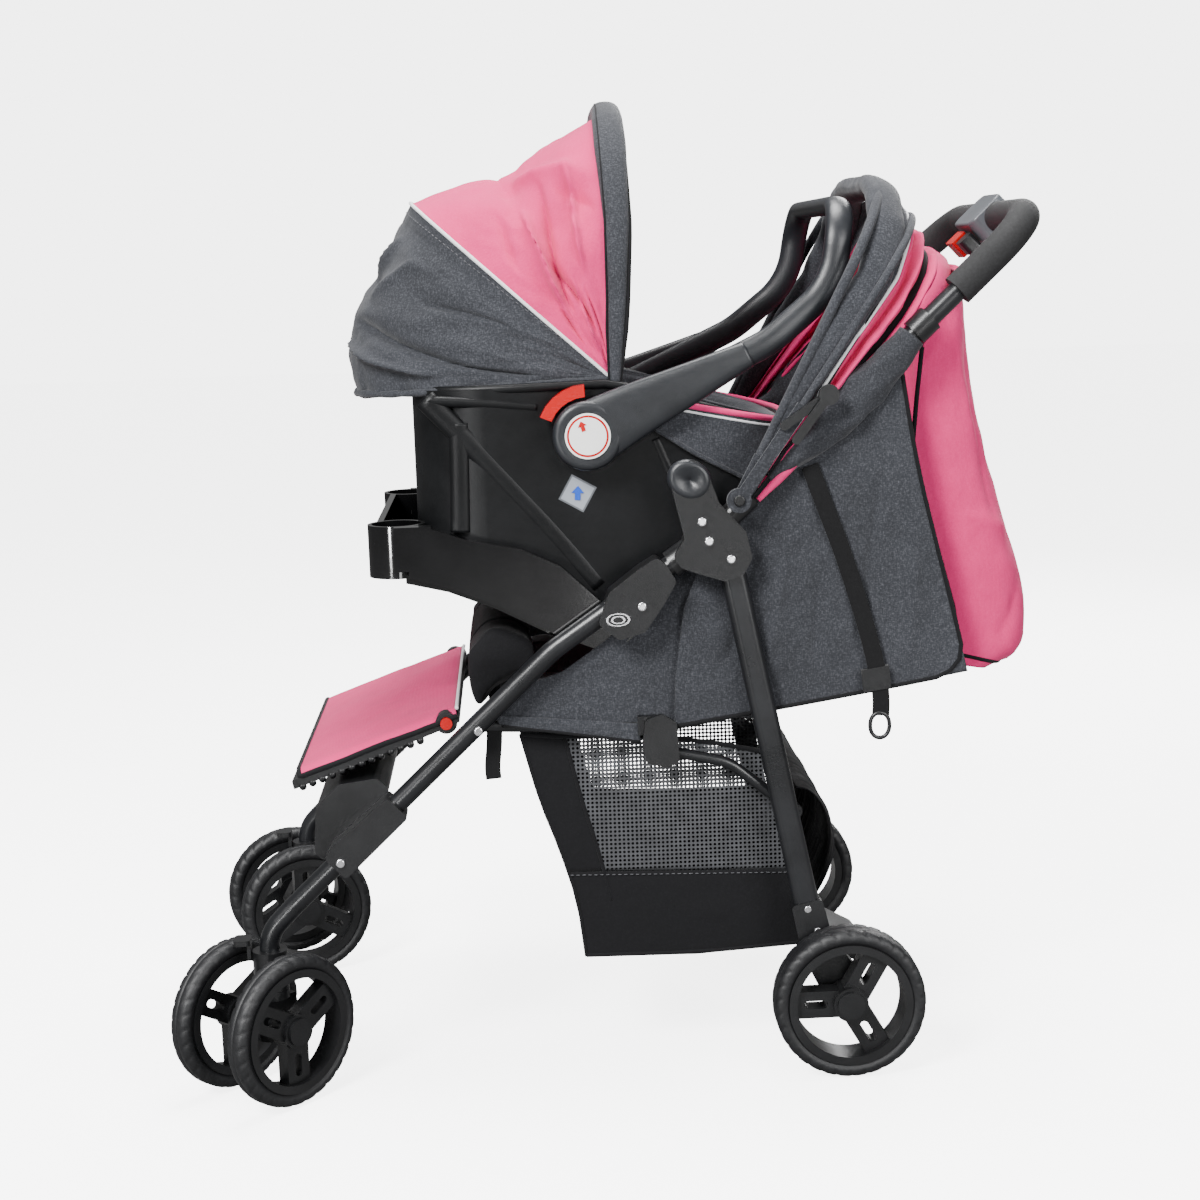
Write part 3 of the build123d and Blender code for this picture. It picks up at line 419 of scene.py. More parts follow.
# ------------------------------------------------------------------ materials
class Nodes:
    """Short names for building one material's nodes."""

    def __init__(self, name):
        self.material = bpy.data.materials.new(name)
        self.material.use_nodes = True
        self.tree = self.material.node_tree
        self.shader = self.tree.nodes["Principled BSDF"]
        self.place = self.add("ShaderNodeTexCoord").outputs["Object"]

    def add(self, kind, **values):
        node = self.tree.nodes.new(kind)
        for key, value in values.items():
            setattr(node, key, value)
        return node

    def link(self, out, socket):
        self.tree.links.new(out, socket)

    def noise(self, scale, detail=3.0, rough=0.5, stretch=None):
        node = self.add("ShaderNodeTexNoise")
        node.inputs["Scale"].default_value = scale
        node.inputs["Detail"].default_value = detail
        node.inputs["Roughness"].default_value = rough
        self.link(self.stretched(stretch), node.inputs["Vector"])
        return node.outputs["Fac"]

    def stretched(self, stretch):
        if stretch is None:
            return self.place
        mapping = self.add("ShaderNodeMapping")
        mapping.inputs["Scale"].default_value = stretch
        self.link(self.place, mapping.inputs["Vector"])
        return mapping.outputs["Vector"]

    def wave(self, scale, direction, distortion=0.0):
        node = self.add("ShaderNodeTexWave", wave_type="BANDS", bands_direction=direction)
        node.inputs["Scale"].default_value = scale
        node.inputs["Distortion"].default_value = distortion
        self.link(self.place, node.inputs["Vector"])
        return node.outputs["Fac"]

    def math(self, operation, a, b):
        """One arithmetic node on sockets or numbers."""
        node = self.add("ShaderNodeMath", operation=operation)
        for socket, value in zip(node.inputs, (a, b)):
            if hasattr(value, "is_linked"):
                self.link(value, socket)
            else:
                socket.default_value = value
        return node.outputs[0]

    def ramp(self, factor, stops):
        node = self.add("ShaderNodeValToRGB")
        while len(node.color_ramp.elements) < len(stops):
            node.color_ramp.elements.new(0.5)
        for element, (place, colour) in zip(node.color_ramp.elements, stops):
            element.position = place
            element.color = (*colour, 1) if len(colour) == 3 else colour
        self.link(factor, node.inputs["Fac"])
        return node.outputs["Color"]

    def mix(self, factor, a, b, blend="MIX"):
        """Colour mix of sockets or colours."""
        node = self.add("ShaderNodeMix", data_type="RGBA", blend_type=blend)
        sockets = (node.inputs[0], node.inputs[6], node.inputs[7])
        for socket, value in zip(sockets, (factor, a, b)):
            if hasattr(value, "is_linked"):
                self.link(value, socket)
            elif np.isscalar(value):
                socket.default_value = value
            else:
                socket.default_value = (*value, 1)
        return node.outputs[2]

    def bump(self, height, strength, distance, under=None):
        node = self.add("ShaderNodeBump")
        node.inputs["Strength"].default_value = strength
        node.inputs["Distance"].default_value = distance
        self.link(height, node.inputs["Height"])
        if under is not None:
            self.link(under, node.inputs["Normal"])
        return node.outputs["Normal"]

    def set(self, socket, value):
        if hasattr(value, "is_linked"):
            self.link(value, self.shader.inputs[socket])
        else:
            self.shader.inputs[socket].default_value = value


def moulded(name, dark, light, rough=0.42, grain=900.0, depth=0.00025, wear=0.2, spread=0.12, shine=0.5):
    """Moulded plastic or paint: fine grain, cloudy colour, uneven gloss and rubbed edges."""
    n = Nodes(name)
    cloud = n.noise(14, 4, 0.6)
    scratch = n.noise(260, 2, 0.7, (1, 0.15, 1))
    colour = n.ramp(cloud, [(0.3, dark), (0.7, light)])
    worn = n.add("ShaderNodeNewGeometry").outputs["Pointiness"]
    edge = n.ramp(worn, [(0.52, (0, 0, 0)), (0.60, (wear, wear, wear))])
    bright = tuple(min(1.0, 2 * c + 0.02) for c in light)
    n.shader.inputs["Specular IOR Level"].default_value = shine
    n.set("Base Color", n.mix(n.math("MULTIPLY", edge, cloud), colour, bright))
    gloss = n.math("ADD", n.math("MULTIPLY", n.math("ADD", cloud, scratch), spread), rough - spread)
    n.set("Roughness", gloss)
    n.set("Normal", n.bump(n.noise(grain, 2, 0.5), 0.5, depth))
    return n.material


def metal(name, colour, rough):
    """Bare or plated metal with fine turning marks."""
    n = Nodes(name)
    n.set("Metallic", 1.0)
    marks = n.noise(700, 3, 0.6, (1, 0.1, 0.1))
    n.set("Base Color", n.ramp(marks, [(0.3, tuple(0.8 * c for c in colour)), (0.7, colour)]))
    n.set("Roughness", n.math("ADD", n.math("MULTIPLY", marks, 0.15), rough - 0.05))
    n.set("Normal", n.bump(marks, 0.25, 0.0001))
    return n.material


THREAD_PITCH = 0.0013


def weave(n, pitch=THREAD_PITCH, distortion=1.2):
    """Plain weave: bands along the three axes, so that any flat panel shows two of them."""
    scale = 2 * math.pi / (20 * pitch)
    bands = [n.wave(scale, axis, distortion) for axis in "XYZ"]
    return n.math("ADD", n.math("MULTIPLY", bands[0], bands[1]), n.math("MULTIPLY", bands[2], bands[1]))


def woven(name, dark, middle, light, fleck=0.5, rough=0.85, sheen=0.25, depth=0.0006, soft=0.2):
    """Woven polyester: thread weave, flecked yarns and a slightly uneven dye."""
    n = Nodes(name)
    yarns = n.mix(0.5, n.noise(760, 3, 0.7, (1, 0.35, 1)), n.noise(760, 3, 0.7, (1, 1, 0.35)))
    n.shader.inputs["Specular IOR Level"].default_value = 0.2
    flecks = n.ramp(yarns, [(0.30, dark), (0.5, middle), (0.70, light)])
    plain = n.mix(fleck, middle, flecks)
    dye = n.ramp(n.noise(7, 4, 0.6), [(0.25, (1 - soft,) * 3), (0.75, (1.0, 1.0, 1.0))])
    threads = weave(n)
    shade_of_weave = n.ramp(threads, [(0.0, (0.90, 0.90, 0.90)), (0.9, (1.0, 1.0, 1.0))])
    n.set("Base Color", n.mix(1.0, n.mix(1.0, plain, dye, "MULTIPLY"), shade_of_weave, "MULTIPLY"))
    n.set("Roughness", n.math("ADD", n.math("MULTIPLY", yarns, 0.1), rough - 0.05))
    n.shader.inputs["Sheen Weight"].default_value = sheen
    n.shader.inputs["Sheen Roughness"].default_value = 0.5
    soft_folds = n.bump(n.noise(38, 3, 0.55), 0.35, 0.004)
    n.set("Normal", n.bump(threads, 0.2, depth, soft_folds))
    return n.material


def mesh_net(name, colour, pitch=0.0048):
    """Open polyester net: round holes in rows."""
    n = Nodes(name)
    scale = 2 * math.pi / (20 * pitch)
    rows = n.math("MULTIPLY", n.wave(scale, "Y"), n.wave(scale, "Z"))
    hole = n.math("GREATER_THAN", rows, 0.33)
    n.set("Base Color", n.ramp(n.noise(60, 3), [(0.3, colour), (0.8, tuple(1.8 * c for c in colour))]))
    n.set("Roughness", 0.75)
    n.set("Alpha", n.math("SUBTRACT", 1.0, hole))
    n.set("Normal", n.bump(rows, 0.4, 0.0005))
    return n.material


def foamed(name, dark, light, rough=0.75):
    """Closed-cell foam: small pits and a dull skin."""
    n = Nodes(name)
    cells = n.noise(1400, 2, 0.6)
    n.set("Base Color", n.ramp(n.noise(300, 3, 0.7), [(0.35, dark), (0.7, light)]))
    n.set("Roughness", n.math("ADD", n.math("MULTIPLY", cells, 0.15), rough))
    n.set("Normal", n.bump(cells, 0.6, 0.0003))
    return n.material


BLACK = moulded("black_plastic", (0.0022, 0.0023, 0.0026), (0.0055, 0.0057, 0.0064), rough=0.32)
SHELL = moulded("shell_plastic", (0.0018, 0.0020, 0.0023), (0.0045, 0.0048, 0.0054), rough=0.40, grain=1300,
                 shine=0.2)
GLOSS = moulded("tray_plastic", (0.0012, 0.0012, 0.0014), (0.0025, 0.0025, 0.0028), rough=0.10, grain=300,
                depth=0.00004, spread=0.04, shine=1.0)
PAINT = moulded("frame_paint", (0.004, 0.0043, 0.005), (0.009, 0.0095, 0.011), rough=0.30, grain=2200,
                depth=0.0001, wear=0.15, shine=0.45)
CHARCOAL = moulded("handle_plastic", (0.006, 0.0068, 0.0085), (0.012, 0.0135, 0.0165), rough=0.36, grain=1500)
GREY = moulded("grey_plastic", (0.055, 0.06, 0.068), (0.09, 0.096, 0.105), rough=0.35)
RED = moulded("red_plastic", (0.34, 0.0004, 0.0006), (0.44, 0.0006, 0.001), rough=0.25, wear=0.0)
WHITE = moulded("label_white", (0.72, 0.72, 0.70), (0.84, 0.84, 0.82), rough=0.4, wear=0.0)
BLUE = moulded("label_blue", (0.003, 0.05, 0.36), (0.005, 0.07, 0.45), rough=0.4, wear=0.0)
PALE = moulded("label_grey", (0.20, 0.22, 0.25), (0.27, 0.29, 0.32), rough=0.35, wear=0.0)
STEEL = metal("axle_steel", (0.42, 0.42, 0.44), 0.4)
CHROME = metal("rivet_steel", (0.85, 0.85, 0.87), 0.20)
TYRE = foamed("tyre_foam", (0.0026, 0.0027, 0.0034), (0.0075, 0.0078, 0.0092), rough=0.45)
FOAM = foamed("grip_foam", (0.003, 0.003, 0.0034), (0.009, 0.009, 0.010))
PINK = woven("pink_fabric", (0.50, 0.012, 0.095), (0.68, 0.026, 0.155), (0.82, 0.070, 0.25), fleck=0.35,
             soft=0.2, sheen=0.1)
MELANGE = woven("grey_fabric", (0.010, 0.011, 0.014), (0.030, 0.032, 0.038), (0.105, 0.108, 0.122),
                fleck=0.85, sheen=0.12, soft=0.38)
DARK_CLOTH = woven("black_fabric", (0.0015, 0.0015, 0.002), (0.0035, 0.0035, 0.0045), (0.011, 0.011, 0.013),
                   fleck=0.5, sheen=0.06)
WEBBING = woven("webbing", (0.0015, 0.0015, 0.002), (0.0035, 0.0035, 0.004), (0.010, 0.010, 0.011),
                depth=0.0012, sheen=0.06)
PIPING = woven("white_piping", (0.55, 0.56, 0.57), (0.74, 0.75, 0.76), (0.88, 0.89, 0.90), fleck=0.3)
GREY_THREAD = woven("grey_thread", (0.05, 0.05, 0.055), (0.09, 0.09, 0.10), (0.16, 0.16, 0.17), fleck=0.3)
NET = mesh_net("basket_net", (0.030, 0.031, 0.034))

NODE_LOOKS = {
    "frame_paint": PAINT, "axle_steel": STEEL, "rivet_steel": CHROME, "black_plastic": BLACK,
    "grey_plastic": GREY, "tray_plastic": GLOSS, "shell_plastic": SHELL, "red_plastic": RED,
    "rim_plastic": BLACK, "tyre_foam": TYRE, "foam": FOAM, "pink_fabric": PINK, "grey_fabric": MELANGE,
    "black_fabric": DARK_CLOTH, "webbing": WEBBING}
SLEEVED = {"carry_handle": CHARCOAL, "canopy_bow_front": MELANGE, "canopy_bow_middle": MELANGE,
           "carseat_bow": DARK_CLOTH}
SLOT_OF = {entry["node"]: entry["material_slot"] for entry in frame["record"]["subparts"]}
for node_name, node in frame["nodes"].items():
    look = SLEEVED.get(node_name) or NODE_LOOKS[SLOT_OF[node_name]]
    if not node.material_slots:
        node.data.materials.append(look)
    for node_slot in node.material_slots:
        node_slot.material = look
BEVELLED = ["tray", "tray_sockets", "hinge_plates", "front_yoke", "carseat_shell", "fold_housing",
            "rear_feet", "caster_fork_left", "caster_fork_right", "caster_housings", "seat_brackets",
            "front_rims_left", "front_rims_right", "rear_rim_left", "rear_rim_right", "footrest",
            "carry_handle", "fold_slider", "fold_trigger", "carry_button_left", "carry_button_right"]
CAD_BEVEL = 0.9
for node_name in BEVELLED:
    edge = frame["nodes"][node_name].modifiers.new("edge", "BEVEL")
    edge.width, edge.segments, edge.limit_method = CAD_BEVEL * MM, 2, "ANGLE"
    edge.angle_limit = math.radians(50)


def finish_piece(piece, body, *replaced, slot=None):
    """Rides a piece on its body and hides the CAD nodes it stands for; slot is not used."""
    if "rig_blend" not in piece:
        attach(piece, body)
    if replaced:
        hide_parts(*replaced)
    return piece


def finish_sheet(piece, grid, held, rests, body, *replaced, blend=None):
    """Blends a sheet of cloth where it crosses a joint, and finishes it."""
    declare_sheet(piece)
    if blend:
        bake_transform(piece, *blend)
    return finish_piece(piece, body, *replaced)


def both(piece, body, grid=None, blend=None, slot=None):
    """A left piece and its mirror twin, blended and riding on their body."""
    name = piece.name.split(".")[0]
    for twin in (piece, mirrored(piece, name + "_right")):
        if grid is not None:
            declare_sheet(twin)
        if blend:
            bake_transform(twin, *blend)
        finish_piece(twin, body, slot=slot)
    piece.name = name + "_left"
    return piece


# ------------------------------------------------------------------ car seat hood
HOOD_HALF = 174.0
HOOD_SQUARE = 0.72
HOOD_REACH = [(86, 283), (91, 282), (98, 268), (105, 256), (112, 243), (118, 240), (124, 256), (129, 268),
              (137.5, 288), (147, 281), (156, 277), (164, 288), (173, 293), (180, 288), (184, 283)]


def from_hood(angle, reach):
    """Side-view point at an angle in degrees round the hood's pivot."""
    return HOOD + reach * np.array([math.cos(math.radians(angle)), math.sin(math.radians(angle))])


def hood_arch(angle, half=HOOD_HALF, count=161, extra=0.0):
    """The hood's arch at an angle round its pivot."""
    top = from_hood(angle, np.interp(angle, *zip(*HOOD_REACH)) + extra)
    return arch([HOOD, top], half, half, HOOD_SQUARE, count)


def hood_panel(start, end, rows):
    """Grid of the hood between two angles."""
    return np.array([hood_arch(angle) for angle in np.linspace(start, end, rows)])


PINK_START, SEAM_ANGLE, HEM_ANGLE = 88.0, 137.5, 182.5
BLEND_REACH = 280
pink = hood_panel(PINK_START, SEAM_ANGLE, 64)
v, u = unit_square(*pink.shape[:2])
hold = np.sin(math.pi * v) ** 0.6 * np.clip(np.sin(math.pi * u) * 4, 0, 1) ** 0.7
folds = (6.0 * smooth_noise(u * 8, v * 3, 5) + 3.0 * smooth_noise(u * 20, v * 6, 9, 2))
PINK_CREASES = [((0.10, 0.72), (0.30, 0.55), 0.016, -15), ((0.12, 0.62), (0.33, 0.40), 0.018, 12),
                ((0.16, 0.30), (0.34, 0.22), 0.015, -13), ((0.08, 0.35), (0.20, 0.60), 0.012, 10),
                ((0.30, 0.12), (0.38, 0.55), 0.020, -11), ((0.03, 0.20), (0.14, 0.35), 0.010, 8),
                ((0.04, 0.50), (0.16, 0.42), 0.010, -8), ((0.20, 0.85), (0.30, 0.70), 0.014, 8),
                ((0.06, 0.80), (0.16, 0.66), 0.010, 7), ((0.24, 0.10), (0.30, 0.34), 0.013, 9)]
folds += twin_creases(u, v, PINK_CREASES)
pink += normals_of(pink) * (1.35 * folds * hold)[..., None]
hood_pink = cloth("hood_pink_panel", pink, PINK)
seam_top, bow_top = from_hood(SEAM_ANGLE, BLEND_REACH), from_hood(PINK_START, BLEND_REACH)
finish_sheet(hood_pink, pink, "stretched", ["carseat_bow", "carseat_shell"], "car_seat",
             blend=("car_seat", "hood_bow", (0, *seam_top * MM), (0, *bow_top * MM)))

grey = hood_panel(SEAM_ANGLE, HEM_ANGLE, 80)
v, u = unit_square(*grey.shape[:2])
hold = np.clip(v * 6, 0, 1) * np.clip(np.sin(math.pi * u) * 5, 0, 1)
gather = np.clip((v - 0.62) / 0.38, 0, 1) ** 1.5
folds = 5.0 * smooth_noise(u * 7, v * 4, 21) + 2.4 * smooth_noise(u * 20, v * 9, 22, 2)
folds += gather * 6.5 * smooth_noise(u * 30, v * 2.0, 23, 2)
folds += crease(u, v, (0.25, 0.10), (0.75, 0.10), 0.03, 3.5)
GREY_CREASES = [((0.20, 0.80), (0.42, 0.62), 0.020, 14), ((0.24, 0.90), (0.46, 0.74), 0.016, -13),
                ((0.33, 0.20), (0.40, 0.52), 0.016, -8), ((0.40, 0.15), (0.44, 0.40), 0.012, -8),
                ((0.10, 0.86), (0.30, 0.76), 0.014, 9), ((0.16, 0.30), (0.30, 0.45), 0.014, 6)]
folds += twin_creases(u, v, GREY_CREASES)
grey += normals_of(grey) * (1.05 * folds * hold)[..., None]
hood_grey = cloth("hood_grey_panel", grey, MELANGE)
finish_sheet(hood_grey, grey, "gathered", ["carseat_shell"], "car_seat", "carseat_canopy")

finish_piece(tube("hood_piping", hood_arch(SEAM_ANGLE, HOOD_HALF + 1.0, extra=2.0), 2.0, PIPING, 8),
             "car_seat")
hem_line = hood_arch(HEM_ANGLE + 0.3, HOOD_HALF, 241)
ruffle = np.linspace(0, 1, len(hem_line))
hem_radius = 4.2 + 1.3 * smooth_noise(ruffle * 60, ruffle * 0, 31, 2)
finish_piece(tube("hood_elastic_hem", hem_line, hem_radius, MELANGE, 10), "car_seat")
finish_piece(stitches("hood_seam_stitches", hood_arch(SEAM_ANGLE + 2.2, HOOD_HALF + 0.8, extra=0.8),
                      GREY_THREAD), "car_seat")

BOW_SIDE = HOOD + np.array([(2, -9), (5, 38), (8, 82), (11, 166), (9, 240), (8, 290)])
bow_line = arch(BOW_SIDE, HOOD_HALF + 1, HOOD_HALF - 2, HOOD_SQUARE, 181)
bow_share = np.abs(np.linspace(-1, 1, len(bow_line)))
bow_half = np.interp(bow_share, [0, 0.25, 0.6, 0.85, 1.0], [14, 17, 17.5, 14, 7])
bow_thick = np.interp(bow_share, [0, 0.6, 0.9, 1.0], [11.5, 10, 8, 5])
bow_ripple = 1 + 0.05 * smooth_noise(np.linspace(0, 30, len(bow_line)), np.zeros(len(bow_line)), 41)
hood_pad = section_tube("hood_bow_pad", bow_line, np.column_stack([bow_half, bow_thick * bow_ripple]),
                        MELANGE, 24, up=(0, 1, 0), power=0.85)
finish_piece(hood_pad, "hood_bow")
edge_line = bow_line + np.outer(bow_half * 0.82, (0, 1, 0))
finish_piece(tube("hood_bow_binding", edge_line, 2.6, DARK_CLOTH, 8), "hood_bow")
back_line = bow_line - np.outer(bow_half * 0.72, (0, 1, 0))
finish_piece(tube("hood_bow_seam", back_line + (bow_line - [0, *HOOD]) * 0.028, 1.2, DARK_CLOTH, 6),
             "hood_bow")

# ------------------------------------------------------------------ stroller canopy, folded back
def in_canopy(*points):
    """Side-view points given from the canopy hub."""
    return [HUB + np.array(point, float) for point in points]


CANOPY_SQUARE = 0.45
CANOPY_LOW, CANOPY_TOP = 231.0, 202.0
ACROSS_BOWS = np.array([0, -0.884, 0.469])
pad_side = in_canopy((4, -2), (47, 71), (97, 149), (151, 226), (172, 283), (175, 326))
pad_line = arch(pad_side, CANOPY_LOW, CANOPY_TOP + 2, CANOPY_SQUARE, 221)
share = np.abs(np.linspace(-1, 1, len(pad_line)))
pad_half = np.interp(share, [0, 0.3, 0.42, 0.6, 0.8, 0.93, 1.0], [16, 17, 20, 23, 22, 14, 6])
pad_thick = np.interp(share, [0, 0.45, 0.8, 1.0], [10, 13, 12, 5])


def rumple(seed, across, along, size):
    """Makes a section tube's wrinkles: a function that moves its rings."""
    def shape(rings, centres):
        count, sides = rings.shape[:2]
        a = np.linspace(0, 1, count)[:, None] * along
        b = np.linspace(0, 1, sides, endpoint=False)[None, :] * across
        wave_one = smooth_noise(a, b, seed, 3)
        wave_two = smooth_noise(a, across - b, seed, 3)
        blend_in = b / across
        wrinkle = wave_one * (1 - blend_in) + wave_two * blend_in
        return rings + (rings - centres[:, None]) * (wrinkle * size)[..., None]
    return shape


canopy_pad = section_tube("canopy_bow_pad", pad_line, np.column_stack([pad_half, pad_thick]), MELANGE, 28,
                          up=ACROSS_BOWS, power=0.85, shape=rumple(61, 3, 26, 0.22))
finish_piece(canopy_pad, "front_bow")
inner_seam = pad_line - ACROSS_BOWS * (pad_half * 0.82)[:, None]
outward = pad_line - [0, *HUB]
outward /= np.linalg.norm(outward, axis=1, keepdims=True)
finish_piece(tube("canopy_pad_seam", inner_seam + outward * 3.0, 1.3, DARK_CLOTH, 6), "front_bow")

FRONT_LINE = in_canopy((6, 2), (64, 88), (122, 172), (172, 240), (186, 282), (190, 312))
REAR_LINE = in_canopy((18, 2), (80, 62), (128, 112), (190, 175), (226, 222), (240, 248))


def canopy_row(t, lift=0.0, count=181):
    """Arch of the folded cloth at the share t from the front bow to the handle."""
    side = [(1 - t) * a + t * b for a, b in zip(FRONT_LINE, REAR_LINE)]
    line = arch(side, CANOPY_LOW - 2 - 4 * t, CANOPY_TOP - 4 * t, CANOPY_SQUARE, count)
    middle = np.array([0, *(HUB + 0.55 * (side[-1] - HUB))])
    away = line - middle
    away /= np.linalg.norm(away, axis=1, keepdims=True)
    rise = np.clip(np.sin(np.linspace(0, math.pi, count)) * 3, 0, 1)[:, None]
    return line + away * lift * rise


def canopy_cloth(start, end, rows, seed, pleats, depth, base):
    """Folded cloth between two shares of the way from the front bow to the handle."""
    grid = []
    for t in np.linspace(start, end, rows):
        turn = 2 * math.pi * pleats * (t - start) / (end - start)
        grid.append(canopy_row(t, base + depth * math.sin(turn)))
    grid = np.array(grid)
    v, u = unit_square(rows, grid.shape[1])
    ripple = 3.2 * smooth_noise(u * 16, v * 3, seed) + 1.4 * smooth_noise(u * 48, v * 5, seed + 3, 2)
    return grid + normals_of(grid) * (ripple * np.sin(math.pi * v) ** 0.5)[..., None]


CANOPY_BLEND = ("handle", "front_bow", (0, *REAR_LINE[3] * MM), (0, *FRONT_LINE[3] * MM))
GREY_SHARE = 0.24
CANOPY_RESTS = ["canopy_bow_front", "handle_tube"]
band = canopy_cloth(0.0, GREY_SHARE, 24, 71, 0.5, 3.0, 3.0)
finish_sheet(cloth("canopy_grey_band", band, MELANGE), band, "folded", CANOPY_RESTS, "handle",
             blend=CANOPY_BLEND)
canopy_piping = tube("canopy_white_piping", canopy_row(GREY_SHARE, 6.0), 2.1, PIPING, 8)
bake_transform(canopy_piping, *CANOPY_BLEND)
finish_piece(canopy_piping, "handle")
band = canopy_cloth(GREY_SHARE, 1.0, 72, 83, 2.5, 8.0, -2.0)
finish_sheet(cloth("canopy_pink_folds", band, PINK), band, "folded", CANOPY_RESTS, "handle", "canopy_fabric",
             blend=CANOPY_BLEND)

ACROSS_FOLDS = (0, -0.72, 0.69)
rear_side = [point + np.array([3, -3]) for point in REAR_LINE]
rear_line = arch(rear_side, CANOPY_LOW - 5, CANOPY_TOP - 4, CANOPY_SQUARE, 201)
share = np.abs(np.linspace(-1, 1, len(rear_line)))
rear_half = np.interp(share, [0, 0.5, 0.8, 1.0], [13, 15, 12, 4])
rear_pad = section_tube("canopy_rear_band", rear_line, np.column_stack([rear_half, rear_half * 0.6]), PINK,
                        22, up=ACROSS_FOLDS, shape=rumple(91, 3, 30, 0.30))
finish_piece(rear_pad, "handle")
lining = section_tube("canopy_dark_lining", canopy_row(0.80, -7.0), [(5, 3)], DARK_CLOTH, 12, up=ACROSS_FOLDS)
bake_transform(lining, *CANOPY_BLEND)
finish_piece(lining, "handle")

# cloth sleeves twisted round the handle arms
HANDLE_TOP_LINE = np.array([466.0, 925.0])
arm_way = (HANDLE_TOP_LINE - FOLD) / np.linalg.norm(HANDLE_TOP_LINE - FOLD)
arm_low = np.array([-arm_way[1], arm_way[0]])
SLEEVE_STATIONS = [(92, 3, 12), (110, 1, 15), (150, -4, 20), (200, -7, 23), (250, -5, 22), (290, -2, 18),
                   (305, 0, 15.5)]
centres = [(214 - 8 * (s - 18) / 468, *(FOLD + arm_way * s + arm_low * d)) for s, d, _ in SLEEVE_STATIONS]
SLEEVE_RINGS, SLEEVE_HEIGHT = 90, 14.5
sleeve_line = smooth_line(centres, SLEEVE_RINGS)
sleeve_half = np.interp(np.linspace(0, 1, SLEEVE_RINGS), np.linspace(0, 1, len(SLEEVE_STATIONS)),
                        [h for _, _, h in SLEEVE_STATIONS])


def twist(rings, centres):
    """Long wrinkles that wind round the sleeve."""
    count, sides = rings.shape[:2]
    a = np.linspace(0, 1, count)[:, None]
    b = np.linspace(0, 2 * math.pi, sides, endpoint=False)[None, :]
    wave = 0.5 * np.sin(3 * b + 14 * a) + 0.35 * np.sin(5 * b - 22 * a + 1) + 0.4 * np.sin(2 * b + 31 * a)
    wave = wave * np.sin(math.pi * a) ** 0.5
    return rings + (rings - centres[:, None]) * (0.13 * wave)[..., None]


sleeve_halves = np.column_stack([sleeve_half, np.full(SLEEVE_RINGS, SLEEVE_HEIGHT)])
sleeve = section_tube("handle_sleeve", sleeve_line, sleeve_halves, MELANGE, 40, up=(0, *arm_low), shape=twist)
both(sleeve, "handle")

# ------------------------------------------------------------------ stroller seat
SIDE_X = 206.5
SEAT_CLOTH = 1.6


def seat_side(bottom, top, left, right, x, seed, rows=50, columns=70, size=3.0):
    """Side cloth between four edges, with ripples."""
    grid = coons(at_x(x, bottom), at_x(x, top), at_x(x, left), at_x(x, right), rows, columns)
    v, u = unit_square(rows, columns)
    hold = np.sin(math.pi * v) ** 0.5 * np.sin(math.pi * u) ** 0.5
    ripple = smooth_noise(u * 5, v * 4, seed) + 0.5 * smooth_noise(u * 14, v * 10, seed + 2)
    grid[..., 0] += (size * ripple + 1.0) * hold
    return grid, u, v, hold


FOLD_BLEND = ("frame", "handle", (0, 0.30, 0.42), (0, 0.26, 0.72))
bottom = [(70, 388), (186, 404), (300, 421), (392, 436)]
right = [(392, 436), (374, 515), (347, 625), (334, 690), (322, 772)]
top = [(118, 600), (150, 622), (215, 682), (322, 772)]
left = [(70, 388), (72, 440), (84, 520), (118, 600)]
grid, u, v, hold = seat_side(bottom, top, left, right, SIDE_X, 101, 70, 100, 5.0)
SIDE_CREASES = [((0.62, 0.10), (0.86, 0.75), 0.030, -7), ((0.80, 0.05), (0.95, 0.50), 0.030, 7),
                ((0.30, 0.05), (0.42, 0.60), 0.040, 6), ((0.16, 0.15), (0.30, 0.75), 0.030, -5),
                ((0.48, 0.08), (0.56, 0.50), 0.025, -5), ((0.86, 0.30), (0.99, 0.10), 0.020, 6),
                ((0.70, 0.85), (0.95, 0.60), 0.025, 5), ((0.82, 0.55), (0.98, 0.35), 0.018, -5)]
for start, end, width, height in SIDE_CREASES:
    grid[..., 0] += hold * crease(u, v, start, end, width, height)
piece = cloth("seat_side", grid, MELANGE, SEAT_CLOTH)
both(piece, "frame", grid, blend=FOLD_BLEND)
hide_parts("seat_sides")
side_edge = smooth_line(at_x(SIDE_X + 0.6, bottom + right[1:]), 120, 2)
piping = tube("seat_side_piping", side_edge, 2.4, DARK_CLOTH, 8)
both(piping, "frame", blend=FOLD_BLEND)

bottom = [(-128, 402), (-60, 394), (0, 388), (104, 390)]
top = [(-100, 436), (-50, 452), (0, 486), (62, 545), (112, 590)]
left = [(-128, 402), (-118, 420), (-100, 436)]
right = [(104, 390), (106, 440), (109, 520), (112, 590)]
grid, u, v, hold = seat_side(bottom, top, left, right, SIDE_X - 7, 111, 30, 50, 2.0)
piece = cloth("seat_front_side", grid, MELANGE, SEAT_CLOTH)
both(piece, "seat_frame", grid)
bottom = [(-118, 396), (-40, 384), (32, 372)]
top = [(-128, 408), (-40, 400), (34, 392)]
grid, u, v, hold = seat_side(bottom, top, [bottom[0], top[0]], [bottom[-1], top[-1]],
                             SIDE_X - 1.5, 121, 16, 60, 1.2)
piece = cloth("seat_skirt", grid, MELANGE, 1.4)
both(piece, "seat_frame", grid)
piping = tube("seat_skirt_piping", smooth_line(at_x(SIDE_X - 1, bottom), 40, 1), 1.8, DARK_CLOTH, 8)
both(piping, "seat_frame")


CHANNEL_DEPTH, LONG_CHANNEL_DEPTH, CHANNEL_WIDTH = 3.2, 2.6, 4.0


